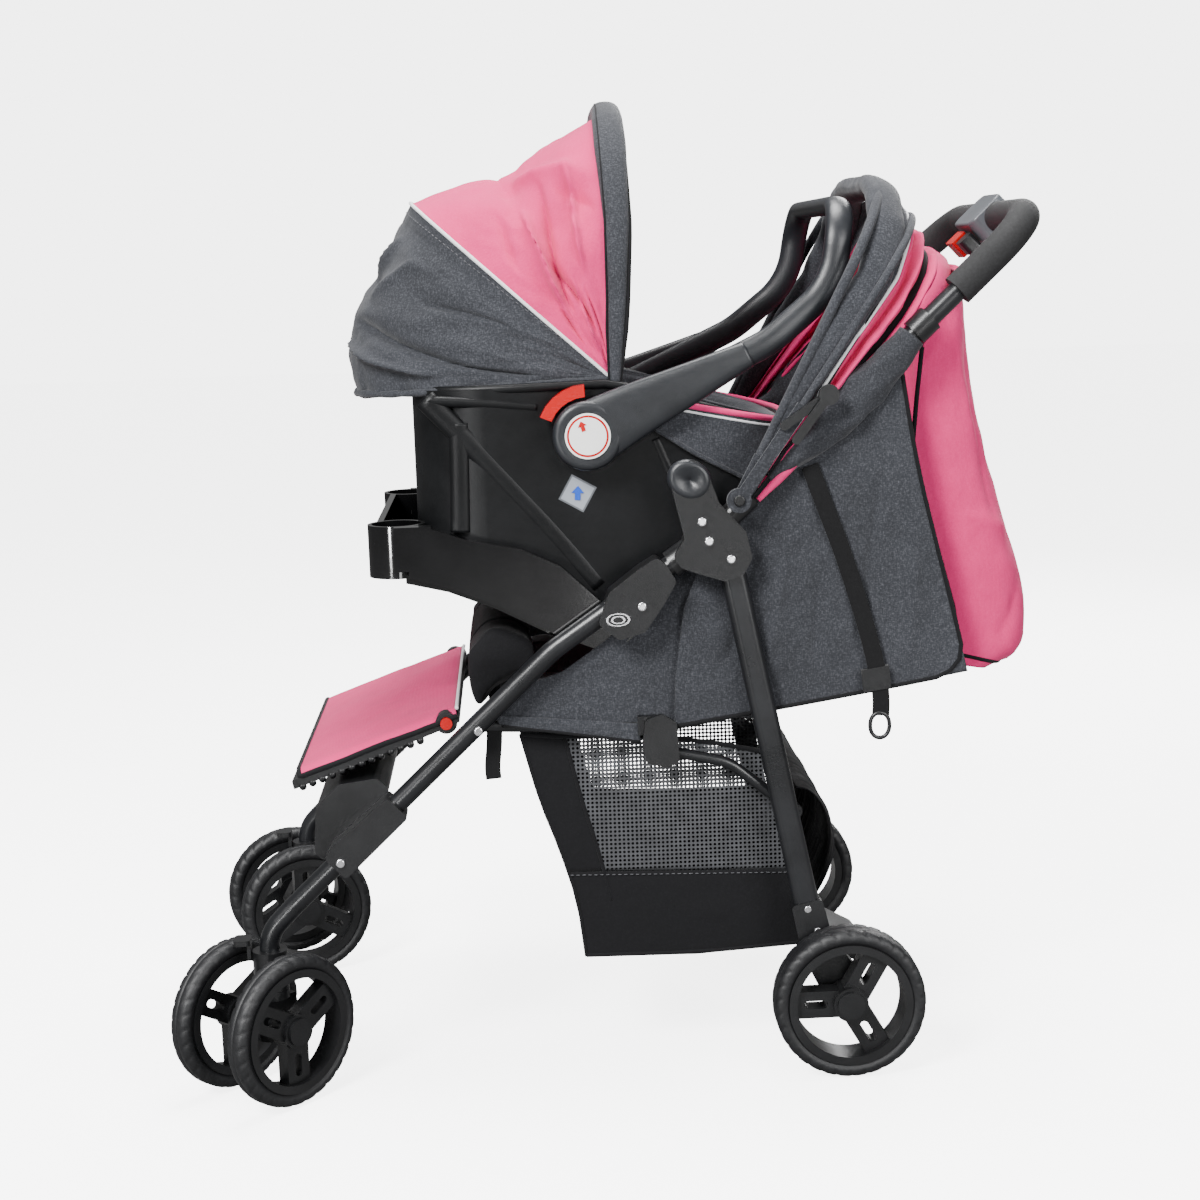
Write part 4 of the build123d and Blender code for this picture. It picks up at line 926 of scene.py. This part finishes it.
def seat_pad(name, outline, half, body, node, cap=7.0, channels=(), material=MELANGE):
    """A stuffed pad: swollen by cloth simulation, then sewn with cross channels."""
    pad = plate(name, outline, -half, half, material, 5.0)
    puff(pad, 6.0, cap)
    coords = np.array([vert.co for vert in pad.data.vertices]) / MM
    normals = np.array([vert.normal for vert in pad.data.vertices])
    for start, end in channels:
        s, e = np.array(start, float), np.array(end, float)
        run = (e - s) / np.linalg.norm(e - s)
        near = coords[:, 1:] - s
        away = np.abs(near[:, 0] * run[1] - near[:, 1] * run[0])
        coords -= normals * (CHANNEL_DEPTH * np.exp(-(away / CHANNEL_WIDTH) ** 2))[:, None]
    for place in (-half * 0.55, half * 0.55):
        away = np.abs(coords[:, 0] - place)
        coords -= normals * (LONG_CHANNEL_DEPTH * np.exp(-(away / CHANNEL_WIDTH) ** 2))[:, None]
    pad.data.vertices.foreach_set("co", (coords * MM).ravel())
    pad.data.update()
    return finish_piece(pad, body, node)


seat_pad("seat_base_pad", [(-130, 402), (-116, 418), (-70, 427), (10, 420), (40, 412), (40, 398), (-20, 394),
                           (-100, 396)], 166, "seat_frame", "seat_base", 6.0, [((-45, 440), (-45, 390))])
seat_pad("calf_pad", [(-146, 404), (-150, 466), (-124, 496), (-78, 478), (-76, 452), (-122, 432), (-136, 418),
                      (-136, 404)], 160, "seat_frame", "calf_panel", 5.0, material=DARK_CLOTH)
seat_pad("backrest_cushion", [(82, 397), (186, 409), (356, 436), (356, 450), (186, 431), (84, 413)], 158,
         "backrest", "backrest_pad", 7.0, [((170, 450), (178, 400)), ((265, 460), (273, 410))])

# ------------------------------------------------------------------ rear boot panel
FRONT_EDGE = [(352, 792), (345, 732), (340, 678), (361, 590), (384, 501), (390, 452), (391, 436)]
REAR_EDGE = [(404, 874), (411, 792), (418, 727), (437, 649), (464, 559), (479, 491), (472, 440), (430, 428)]
levels = np.linspace(0, 1, 90)
fronts, rears = polyline(FRONT_EDGE, levels), polyline(smooth_line(REAR_EDGE, 90, 2), levels)
BOOT_LOW, BOOT_TOP, BOOT_SQUARE, BOOT_FLOOR = 173, 166, 0.36, 426
boot = np.array([arch([f, r], BOOT_LOW, BOOT_TOP, BOOT_SQUARE, 141) for f, r in zip(fronts, rears)])
v, u = unit_square(90, 141)
hold = np.clip(np.sin(math.pi * v) * 4, 0, 1) * np.clip(np.sin(math.pi * u) * 5, 0, 1)
folds = 3.0 * smooth_noise(u * 9, v * 5, 131) + 1.3 * smooth_noise(u * 26, v * 13, 133, 2)
BOOT_CREASES = [((0.12, 0.05), (0.17, 0.45), 0.02, 4), ((0.20, 0.1), (0.15, 0.6), 0.015, -4),
                ((0.08, 0.55), (0.20, 0.62), 0.02, 4), ((0.1, 0.9), (0.2, 0.72), 0.02, -4)]
folds += twin_creases(u, v, BOOT_CREASES)
boot += normals_of(boot) * (folds * hold)[..., None]
boot[..., 2] = np.maximum(boot[..., 2], BOOT_FLOOR)
finish_sheet(cloth("boot_pink_panel", boot, PINK, SEAT_CLOTH), boot, "hung",
             ["handle_tube", "backrest_frame"], "handle", "boot_panel", blend=FOLD_BLEND)
for tag, line, radius, look in (("piping_left", boot[:, 0], 2.6, DARK_CLOTH),
                                ("piping_right", boot[:, -1], 2.6, DARK_CLOTH),
                                ("bottom_hem", boot[-4], 2.4, DARK_CLOTH), ("top_hem", boot[1], 2.6, PINK)):
    edging = tube("boot_" + tag, line, radius, look, 8)
    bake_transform(edging, *FOLD_BLEND)
    finish_piece(edging, "handle")

# ------------------------------------------------------------------ harness of the car seat
# flat webbing with a buckle and a red button, in the space of the plain harness
HARNESS_LINE = [(-170, 637), (-148, 632), (-125, 622), (-82, 597), (-40, 573)]
HARNESS_X, HARNESS_HALF_WIDTH, WEB_HALF_THICKNESS = 41.0, 12.5, 1.3
CROTCH_LINE = [(-20, 573), (-6, 568), (9, 561)]
BUCKLE_OUTLINE = [(-34, 572), (-31, 582), (-4, 574), (-7, 563)]
BUCKLE_HALF, CROTCH_HALF, BUTTON_HALF = 24.0, 14.0, 11.0
shoulder = section_tube("harness_strap", smooth_line(at_x(HARNESS_X, HARNESS_LINE), 60),
                        [(HARNESS_HALF_WIDTH, WEB_HALF_THICKNESS)], WEBBING, 12, up=(1, 0, 0), power=0.5)
both(shoulder, "car_seat")
crotch = section_tube("harness_crotch_strap", smooth_line(at_x(0, CROTCH_LINE), 30),
                      [(CROTCH_HALF, WEB_HALF_THICKNESS)], WEBBING, 12, up=(1, 0, 0), power=0.5)
finish_piece(crotch, "car_seat", "carseat_harness")
buckle = plate("harness_buckle", BUCKLE_OUTLINE, -BUCKLE_HALF, BUCKLE_HALF, BLACK, 2.5)
finish_piece(buckle, "car_seat")
button = plate("harness_button", [(-26, 579.0), (-25.4, 582.2), (-13, 579.0), (-13.6, 575.8)],
               -BUTTON_HALF, BUTTON_HALF, RED, 0.8)
finish_piece(button, "car_seat")

# ------------------------------------------------------------------ recline straps
STRAP = [(222, 668), (236, 628), (252, 585), (268, 536), (284, 478), (294, 432), (296, 408), (295, 392)]
STRAP_X, STRAP_HALVES = 212.2, [(9.5, 1.0)]
line = smooth_line(at_x(STRAP_X, STRAP), 90)
line[:, 0] += 0.8 * np.sin(np.linspace(0, 9, 90))
strap = section_tube("recline_strap", line, STRAP_HALVES, WEBBING, 12, up=(0, 1, 0.25), power=0.5)
both(strap, "frame", blend=FOLD_BLEND)
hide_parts("recline_straps")
ring_angle = np.linspace(0, 2 * math.pi, 49)[:-1]
ring_side = 1.0 + 0.12 * np.cos(2 * ring_angle)
RING_Y, RING_Z = 294, 381
ring = np.column_stack([np.full(48, STRAP_X), RING_Y + 12 * np.sin(ring_angle) * ring_side,
                        RING_Z + 12.5 * np.cos(ring_angle) * ring_side])
both(tube("strap_ring", ring, 2.3, BLACK, 10, closed=True), "frame", blend=FOLD_BLEND)
buckle = plate("strap_buckle", [(278, 420), (305, 424), (303, 446), (276, 442)], STRAP_X - 3, STRAP_X + 3,
               BLACK)
both(buckle, "frame", blend=FOLD_BLEND)

TAIL = [(-126, 392), (-127, 372), (-130, 350), (-129, 336)]
tail = section_tube("front_strap_tail", smooth_line(at_x(199, TAIL), 30), [(1.0, 8.5)], WEBBING, 12,
                    up=(1, 0, 0), power=0.5)
both(tail, "seat_frame")

# ------------------------------------------------------------------ basket
NET_X = 183.0
FRONT_FOOT, REAR_FOOT, REAR_TOP = (-34, 124), (206, 128), (186, 346)
BAND_FRONT, NET_FRONT, BAND_REAR = (-50, 222), (-13, 222), (210, 214)
NET_CORNER, BASKET_CORNER = (-50, 376), (-98, 381)
NET_RISE = [(-18, 250), (-34, 305), NET_CORNER]
NET_TOP = [NET_CORNER, (20, 374), (100, 366), REAR_TOP]


def basket_side(name, edges, size, seed, rows, columns, look, thickness, x):
    """One cloth of the basket's side: its bottom, top, front and rear edges, bulged outwards."""
    grid = coons(*(at_x(0, edge) for edge in edges), rows, columns)
    v, u = unit_square(rows, columns)
    fade = np.sin(math.pi * v) ** 0.7 * np.sin(math.pi * u) ** 0.7
    grid[..., 0] = x + (size + 1.2 * smooth_noise(u * 5, v * 4, seed)) * fade
    both(cloth(name, grid, look, thickness), "frame", grid)


basket_side("basket_net", ([NET_FRONT, BAND_REAR], NET_TOP, [NET_FRONT, *NET_RISE],
                           [BAND_REAR, (205, 290), REAR_TOP]), 3.0, 141, 40, 50, NET, 0.6, NET_X)
basket_side("basket_side_band", ([FRONT_FOOT, (90, 122), REAR_FOOT], [BAND_FRONT, BAND_REAR],
                                 [FRONT_FOOT, (-41, 188), BAND_FRONT], [REAR_FOOT, (211, 180), BAND_REAR]),
            2.0, 143, 24, 60, DARK_CLOTH, 1.2, NET_X + 0.5)
BAND_RISE = [BAND_FRONT, (-59, 250), (-79, 305), BASKET_CORNER]
basket_side("basket_front_band", ([BAND_FRONT, NET_FRONT], [BASKET_CORNER, NET_CORNER],
                                  BAND_RISE, [NET_FRONT, *NET_RISE]),
            1.0, 147, 30, 16, DARK_CLOTH, 1.2, NET_X + 0.5)
FRONT_LINE_DOWN = [FRONT_FOOT, (-41, 188), (-59, 250), (-79, 305), BASKET_CORNER]


def across_panel(edge, bow, seed, rows=40, columns=60, size=2.5, lift=(0, 1, 0)):
    """A panel across the basket between its side edges, bowed outwards."""
    side = polyline(edge, np.linspace(0, 1, rows))
    x = np.linspace(NET_X, -NET_X, columns)
    grid = np.zeros((rows, columns, 3))
    grid[..., 0] = x[None, :]
    grid[..., 1:] = side[:, None]
    v, u = unit_square(rows, columns)
    away = bow + size * smooth_noise(u * 6, v * 4, seed)
    away = away * np.sin(math.pi * u) ** 0.6 * np.sin(math.pi * v) ** 0.6
    return grid + np.array(lift)[None, None] * away[..., None]


panel = across_panel(FRONT_LINE_DOWN, 7, 151, lift=(0, -1, 0))
finish_sheet(cloth("basket_front_panel", panel, DARK_CLOTH), panel, "hung",
             ["front_leg_left", "front_leg_right"], "frame", "basket")
REAR_BULGE = [(206, 128), (216, 170), (236, 205), (248, 240), (240, 280), (222, 304), (204, 308)]
panel = across_panel(smooth_line(REAR_BULGE, 60, 2), 2, 153, 60, 140, 0.5)
v, u = unit_square(60, 140)
panel[..., 1] += 3.0 * smooth_noise(u * 34, v * 2.5, 155, 2) * np.sin(math.pi * v) ** 0.5
finish_sheet(cloth("basket_rear_panel", panel, DARK_CLOTH), panel, "gathered", ["rear_legs"], "frame")
panel = across_panel([FRONT_FOOT, (90, 121), REAR_FOOT], -3, 157, 50, 60, 1.2, (0, 0, 1))
finish_sheet(cloth("basket_floor", panel, DARK_CLOTH, SEAT_CLOTH), panel, "hung", ["rear_legs"], "frame")
BINDINGS = [("top", 0.6, [BASKET_CORNER, *NET_TOP], 80, 2.6), ("front", 0.8, FRONT_LINE_DOWN, 60, 2.0),
            ("net", 0.8, [(-4, 188), *NET_RISE], 60, 2.0),
            ("rear", 0.8, [REAR_FOOT, (211, 215), (205, 290), REAR_TOP], 60, 2.0),
            ("low", 0.9, [(-34, 125), (90, 123), (206, 129)], 60, 2.4)]
for tag, out, edge, count, radius in BINDINGS:
    line = smooth_line(at_x(NET_X + out, edge), count, 1)
    both(tube(f"basket_{tag}_binding", line, radius, DARK_CLOTH, 8), "frame")
thread = stitches("basket_band_stitches", at_x(NET_X + 3.0, [(-50, 219), (80, 215), (208, 211)]), GREY_THREAD)
both(thread, "frame", slot="black_fabric")

# ------------------------------------------------------------------ footrest
PAD_LENGTH, PAD_HALF = 184.0, 197.0
slope = np.array([-160, -56]) / np.linalg.norm([160, 56])
lift_dir = np.array([-slope[1], slope[0]]) * -1
start = FOOT + np.array([11, 10])
rows, columns = 50, 90
s = np.linspace(0, 1, rows)
xx = np.linspace(-1, 1, columns)
grid = np.zeros((rows, columns, 3))
for i, share_s in enumerate(s):
    for j, share_x in enumerate(xx):
        ease = max(0.0, abs(share_x) - 0.93) / 0.07
        crown = (1 - share_x ** 4) * math.sin(math.pi * min(1, share_s * 1.02)) ** 0.4
        height = 3.2 + 4.5 * crown - 6.0 * ease ** 2
        y, z = start + slope * PAD_LENGTH * share_s + lift_dir * height
        grid[i, j] = (share_x * PAD_HALF, y, z)
v, u = np.meshgrid(s, xx, indexing="ij")
ripple = 1.2 * smooth_noise(u * 5 + 9, v * 4, 161) * np.sin(math.pi * v) ** 0.5
grid += np.array([0, *lift_dir]) * ripple[..., None]
finish_sheet(cloth("footrest_cover", grid, PINK, 2.4), grid, "stretched", ["footrest"], "footrest")
rim = np.vstack([grid[:, 0], grid[-1, 1:-1], grid[::-1, -1]])
finish_piece(tube("footrest_edge_binding", smooth_line(rim, 200, 1), 3.2, DARK_CLOTH, 8), "footrest")
finish_piece(tube("footrest_white_piping", grid[0, 2:-2] + [0, 1.5, 1.5], 2.0, PIPING, 8), "footrest")
TEETH, TOOTH_PITCH, TOOTH_INNER, TOOTH_OUTER, TOOTH_RADIUS = 13, 11.5, 190, 197.5, 4.2
bumps = []
for side in (1, -1):
    for k in range(TEETH):
        y, z = FOOT + np.array([-22, -14]) + slope * (8 + TOOTH_PITCH * k)
        ends = [(side * TOOTH_INNER, y, z - 4), (side * TOOTH_OUTER, y, z + 1)]
        bumps.append(tube("bump", ends, TOOTH_RADIUS, BLACK))
finish_piece(join("footrest_teeth", bumps), "footrest")

# ------------------------------------------------------------------ car seat liner, straps and trims
PLAN_HALF = 168.0
LINER_SQUARE, LIP_SQUARE, RIM_SQUARE = 0.55, 0.5, 0.48
RIM = [(-199, 755), (-100, 757), (24, 758), (109, 738), (200, 712), (213, 707)]
FLOOR = [(-180, 622), (-128, 618), (-40, 570), (15, 540), (50, 566), (95, 609), (180, 676), (200, 700)]


def plan_ring(scale, drop, count=120):
    """Closed ring of the liner: scale 1 is its rim; drop 1 is its floor."""
    angle = np.linspace(0, 2 * math.pi, count, endpoint=False)
    c, s = squared(angle, LINER_SQUARE)
    y = 5 + 203 * scale * s
    high = np.interp(y, *zip(*RIM))
    low = np.interp(y, *zip(*FLOOR))
    return np.column_stack([PLAN_HALF * scale * c, y, high * (1 - drop) + low * drop])


rings = [(1.0, -0.02), (0.985, 0.01), (0.96, 0.03), (0.93, 0.10), (0.90, 0.25), (0.87, 0.45), (0.84, 0.63),
         (0.79, 0.78), (0.70, 0.90), (0.58, 0.97), (0.42, 1.0), (0.25, 1.0), (0.10, 1.0), (0.01, 1.0)]
dense = np.array([np.interp(np.linspace(0, 1, 60), np.linspace(0, 1, len(rings)), [ring[k] for ring in rings])
                  for k in (0, 1)]).T
liner = np.array([plan_ring(scale, drop) for scale, drop in dense])
v, u = unit_square(*liner.shape[:2], ends=False)
quilt = 2.2 * np.abs(np.sin(liner[..., 0] / 30)) * np.abs(np.sin(liner[..., 1] / 34))
puffed = (2.0 * smooth_noise(u * 12, v * 5, 171) + quilt) * np.clip(v * 5, 0, 1)
liner += normals_of(liner) * puffed[..., None]
liner_piece = cloth("carseat_liner_cloth", liner, MELANGE, 3.0, wrap=True)
finish_piece(liner_piece, "car_seat", "carseat_liner")

angle = np.linspace(-0.16, math.pi + 0.16, 121)
c, s = squared(angle, LIP_SQUARE)
lip_y = 60 + 162.5 * np.clip(s, -0.05, 1)
lip_x = 186.5 * c
lip_top = np.interp(lip_y, [52, 59, 217], [742, 740, 708])
lip_low = np.interp(lip_y, [52, 59, 100, 169, 217], [716, 712, 684, 646, 640])
shell_line = np.interp(lip_y, [52, 105, 193, 217], [536, 582, 651, 703])
lip_low = np.maximum(lip_low, shell_line + 4)
lip = np.array([np.column_stack([lip_x, lip_y, lip_top * (1 - t) + lip_low * t])
                for t in np.linspace(0, 1, 26)])
v, u = unit_square(26, 121)
loose = (1.5 + 1.2 * smooth_noise(u * 14, v * 4, 181)) * np.sin(math.pi * v) ** 0.5
lip -= normals_of(lip) * loose[..., None]
finish_sheet(cloth("liner_foot_cover", lip, MELANGE, 2.0), lip, "stretched", ["carseat_shell"], "car_seat")
finish_piece(tube("liner_pink_piping", lip[0] + [0, 0, 2.0], 3.4, PINK, 10), "car_seat")
finish_piece(tube("liner_white_piping", lip[1] + [0, 0, -2.5], 1.6, PIPING, 8), "car_seat")
finish_piece(tube("liner_low_elastic", lip[-1], 2.6, MELANGE, 8), "car_seat")

RIB_X, RIB_DEPTH = 175.8, 5.5
ribs = []
for path, radius in (([(-186, 751), (-145, 707), (-96, 651), (-47, 595), (-6, 541)], 12.0),
                     ([(-151, 724), (-152, 668), (-154, 606)], 11.0),
                     ([(-186, 749), (-120, 744), (-66, 738)], 6.0),
                     ([(60, 700), (84, 640), (96, 590)], 7.0)):
    line = smooth_line(at_x(RIB_X, path), 40, 2)
    ribs.append(section_tube("rib", line, [(RIB_DEPTH, radius)], SHELL, 24, up=(1, 0, 0)))
both(join("carseat_ribs", ribs), "car_seat")
rim_angle = np.linspace(0, 2 * math.pi, 161)[:-1]
c, s = squared(rim_angle, RIM_SQUARE)
rim_y = 7 + 210 * s
rim_ring = np.column_stack([180.5 * c, rim_y, np.interp(rim_y, [-203, 24, 109, 217], [757, 761, 733, 702])])
rim_piece = section_tube("carseat_rim", rim_ring, [(5, 4)], SHELL, 14, up=(0, 0, 1), closed=True)
finish_piece(rim_piece, "car_seat")

flare_line = [(206, *CARRY), (205.5, 18, 724), (204, 48, 738), (202.5, 80, 752), (200, 118, 769),
              (197, 160, 788)]
FLARE_HALVES = [(7.5, 36), (8, 29), (8.5, 24), (9, 19.5), (9.5, 16.8), (9.6, 14.5)]
flare = section_tube("carry_arm_flare", smooth_line(flare_line, 60), FLARE_HALVES, CHARCOAL, 36,
                     up=(1, 0, 0), power=0.8)
both(flare, "carry_handle")
KNOB = np.array([91.0, 660.0])
KNOB_PROFILE = [(0, 0.5), (0, 24), (4, 24), (7, 21), (8.2, 17), (7.4, 15), (7.4, 0.5)]
knob = lathe("hinge_knob", KNOB_PROFILE, (231, *KNOB), (1, 0, 0), CHARCOAL, 72,
             lambda axial, radius, angle: (axial, radius * (1 - 0.13 * np.sin(angle + 0.5) ** 2)))
both(knob, "frame", slot="grey_plastic")

socket_low, socket_high = [np.array(corner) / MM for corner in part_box("tray_sockets")]
BADGE_INSET, BADGE_WIDE, BADGE_HIGH = (20, 22), 1.15, 0.62
badge_y, badge_z = socket_low[1:] + BADGE_INSET
badge = [plate("badge", [(badge_y + BADGE_WIDE * r * math.cos(a), badge_z + BADGE_HIGH * r * math.sin(a))
                         for a in np.linspace(0, 2 * math.pi, 40)[:-1]],
               socket_high[0] - 0.5, socket_high[0] + high, look, 0.3)
         for r, high, look in ((11, 0.4, CHROME), (9, 0.8, BLACK), (6.5, 1.2, CHROME), (4.5, 1.6, BLACK))]
both(join("tray_badge", badge), "frame")

# labels, with no lettering: a white disc in a red ring on each hub, and a blue arrow tile
HUB_FACE = 213.2
HUB_START = 204.0
hub_profile = [(0, 0.5), (0, 37.2), (3.5, 37.4), (6.5, 36.4), (8.6, 33.5), (9.2, 30.0), (8.6, 27.5),
               (8.6, 0.5)]
both(lathe("hub_cap", hub_profile, (HUB_START, *CARRY), (1, 0, 0), CHARCOAL, 96), "carry_handle")


def disc(name, centre, x, radius, thick, material, sides=64):
    """Flat round label on a side face."""
    outline = [(centre[0] + radius * math.cos(a), centre[1] + radius * math.sin(a))
               for a in np.linspace(0, 2 * math.pi, sides, endpoint=False)]
    return plate(name, outline, x, x + thick, material, 0.4)


for name, radius, thick, look in (("hub_label", 24, 0.9, WHITE), ("hub_ring", 21.8, 1.3, RED),
                                  ("hub_label_middle", 19.6, 1.6, WHITE)):
    both(disc(name, CARRY, HUB_FACE, radius, thick, look), "carry_handle")
ARROW = [(0, 12), (8, 3), (3.5, 3), (3.5, -6), (-3.5, -6), (-3.5, 3), (-8, 3)]


def arrow(name, centre, size, lean, x, thick, material):
    """Flat arrow on a side face, leaning by an angle."""
    c, s = math.cos(lean), math.sin(lean)
    outline = [(centre[0] + size * (a * c - b * s), centre[1] + size * (a * s + b * c)) for a, b in ARROW]
    return plate(name, outline, x, x + thick, material, 0.0)


both(arrow("hub_arrow", CARRY + [-5, 9], 0.62, 0.3, HUB_FACE, 2.2, RED), "carry_handle")
TILE, TILE_HALF, TILE_LEAN = np.array([-26, 644]), 13, math.radians(-30)
c, s = math.cos(TILE_LEAN), math.sin(TILE_LEAN)
tile = [(TILE[0] + TILE_HALF * (a * c - b * s), TILE[1] + TILE_HALF * (a * s + b * c))
        for a, b in ((-1, -1), (1, -1), (1, 1), (-1, 1))]
frame_tile = [TILE + (np.array(corner) - TILE) * 1.16 for corner in tile]
both(plate("arrow_tile_edge", frame_tile, 179.8, 180.6, GREY, 0.3), "car_seat")
both(plate("arrow_tile", tile, 180.0, 181.2, PALE, 0.5), "car_seat")
both(arrow("arrow_mark", TILE + [0, -2.0], 0.85, math.radians(-4), 180.6, 1.8, BLUE), "car_seat")

# ------------------------------------------------------------------ tyres with shoulder grooves
GROOVE_DEPTH, LINE_DEPTH = 2.4, 1.2


def tread(axial, radius, angle, width, blocks):
    """Cuts slanted grooves into the tyre's shoulders and a shallow line round its middle."""
    edge = np.clip((np.abs(axial) - width * 0.16) / (width * 0.34), 0, 1)
    outer = np.clip((radius - 70) / 8, 0, 1)
    phase = (angle * blocks / (2 * math.pi) + np.sign(axial) * 0.25 + np.abs(axial) * 0.05) % 1.0
    cut = np.exp(-((phase - 0.5) / 0.10) ** 2)
    middle = np.exp(-(axial / 1.2) ** 2)
    return axial, radius - outer * (GROOVE_DEPTH * cut * np.sqrt(edge) + LINE_DEPTH * middle)


TYRE_OUTER, TYRE_INNER, TYRE_CORNER = 83.0, 68.0, 8.0


def tyre(name, centre, axle, width, blocks=30):
    """Tyre of the shared wheel size, turned from its section and grooved."""
    half, outer, inner, corner = width / 2, TYRE_OUTER, TYRE_INNER, TYRE_CORNER
    profile = []
    for sign in (-1, 1):
        turn = np.linspace(90, 0, 7) if sign > 0 else np.linspace(180, 90, 7)
        for degree in turn:
            a = math.radians(degree)
            profile.append((sign * (half - corner) + corner * math.cos(a),
                            outer - corner + corner * math.sin(a)))
        if sign < 0:
            profile += [(x, outer) for x in np.linspace(-half + corner, half - corner, 11)[1:-1]]
    profile += [(half, 72), (half - 1.5, 70.5), (half - 1.5, inner), (-half + 1.5, inner),
                (-half + 1.5, 70.5), (-half, 72)]
    return lathe(name, profile, centre, axle, TYRE, 240,
                 lambda axial, radius, angle: tread(axial, radius, angle, width, blocks))


TWIN_OFFSET, TWIN_WIDTH, REAR_WIDTH = 47.0, 26.0, 38.0
for side_name in ("left", "right"):
    joint = JOINTS["front_spin_" + side_name]
    middle, axle = np.array(joint["pos_m"]) / MM, np.array(joint["axis"])
    twins = [tyre("tyre", middle + axle * TWIN_OFFSET * end, axle, TWIN_WIDTH) for end in (1, -1)]
    finish_piece(join("front_tyre_pair_" + side_name, twins), "front_wheels_" + side_name,
                 "front_tyres_" + side_name)
    joint = JOINTS["rear_spin_" + side_name]
    finish_piece(tyre("rear_tyre_tread_" + side_name, np.array(joint["pos_m"]) / MM, (1, 0, 0), REAR_WIDTH),
                 "rear_wheel_" + side_name, "rear_tyre_" + side_name)

# ------------------------------------------------------------------ floor, light and camera
FLOOR_SIZE, FLOOR_GLOW, FLOOR_BOUNCE = 30.0, 4.5, 0.16
bpy.ops.mesh.primitive_grid_add(x_subdivisions=2, y_subdivisions=2, size=FLOOR_SIZE, location=(0, 0, -0.001))
floor = bpy.context.object
floor.name = "floor"
floor_look = Nodes("floor_pale")
floor_seen = floor_look.add("ShaderNodeLightPath").outputs["Is Camera Ray"]
paper = floor_look.ramp(floor_look.noise(2, 2), [(0.3, (0.84, 0.84, 0.84)), (0.7, (0.88, 0.88, 0.88))])
floor_look.set("Base Color", floor_look.mix(floor_seen, (FLOOR_BOUNCE,) * 3, paper))
floor_look.set("Roughness", 0.95)
floor_look.shader.inputs["Specular IOR Level"].default_value = 0.0
floor_look.shader.inputs["Emission Color"].default_value = (1, 1, 1, 1)
floor_look.set("Emission Strength", floor_look.math("MULTIPLY", floor_seen, FLOOR_GLOW))
floor.data.materials.append(floor_look.material)

AMBIENT, BACKDROP = 0.28, 4.9
world = bpy.data.worlds.new("studio")
bpy.context.scene.world = world
world.use_nodes = True
seen = world.node_tree.nodes.new("ShaderNodeLightPath").outputs["Is Camera Ray"]
strength = world.node_tree.nodes.new("ShaderNodeMapRange")
strength.inputs["To Min"].default_value, strength.inputs["To Max"].default_value = AMBIENT, BACKDROP
world.node_tree.links.new(seen, strength.inputs["Value"])
world.node_tree.links.new(strength.outputs["Result"], world.node_tree.nodes["Background"].inputs["Strength"])
world.node_tree.nodes["Background"].inputs["Color"].default_value = (1.0, 1.0, 1.0, 1)


def area_light(name, place, target, size, power):
    """Soft square lamp that looks at a target."""
    data = bpy.data.lights.new(name, "AREA")
    data.energy, data.size, data.shape = power, size, "SQUARE"
    lamp = bpy.data.objects.new(name, data)
    bpy.context.collection.objects.link(lamp)
    lamp.location = place
    lamp.rotation_euler = (Vector(target) - Vector(place)).to_track_quat("-Z", "Y").to_euler()


MIDDLE = (0, 0, 0.5)
LIGHTS = {"key": ((2.6, -1.8, 2.9), MIDDLE, 1.2, 300), "fill": ((2.6, 1.9, 1.4), MIDDLE, 1.6, 90),
          "top": ((-0.2, 0.2, 3.2), MIDDLE, 1.4, 150),
          "strip": ((2.9, -1.5, 0.35), (0.2, -0.2, 0.5), 0.35, 30),
          "low": ((3.4, 0.4, 0.10), (0.2, 0, 0.5), 0.5, 6), "rim": ((-2.4, 1.6, 2.0), (0, 0, 0.6), 1.4, 90)}
for light_name, settings in LIGHTS.items():
    area_light(light_name, *settings)

CAMERA_PLACE, CAMERA_LENS = (2.438, -0.090, 0.899), 63.03
CAMERA_YAW, CAMERA_PITCH, CAMERA_ROLL = math.radians(2.14), math.radians(9.37), math.radians(-1.92)
camera_data = bpy.data.cameras.new("camera")
camera_data.sensor_width = 36.0
camera_data.lens = CAMERA_LENS
camera = bpy.data.objects.new("camera", camera_data)
bpy.context.collection.objects.link(camera)
forward = Vector((-math.cos(CAMERA_YAW) * math.cos(CAMERA_PITCH),
                  math.sin(CAMERA_YAW) * math.cos(CAMERA_PITCH), -math.sin(CAMERA_PITCH)))
right = forward.cross(Vector((0, 0, 1))).normalized()
above = right.cross(forward)
turned = right * math.cos(CAMERA_ROLL) + above * math.sin(CAMERA_ROLL)
upright = above * math.cos(CAMERA_ROLL) - right * math.sin(CAMERA_ROLL)
axes = Matrix((turned, upright, -forward)).transposed()
camera.matrix_world = Matrix.Translation(CAMERA_PLACE) @ axes.to_4x4()
bpy.context.scene.camera = camera
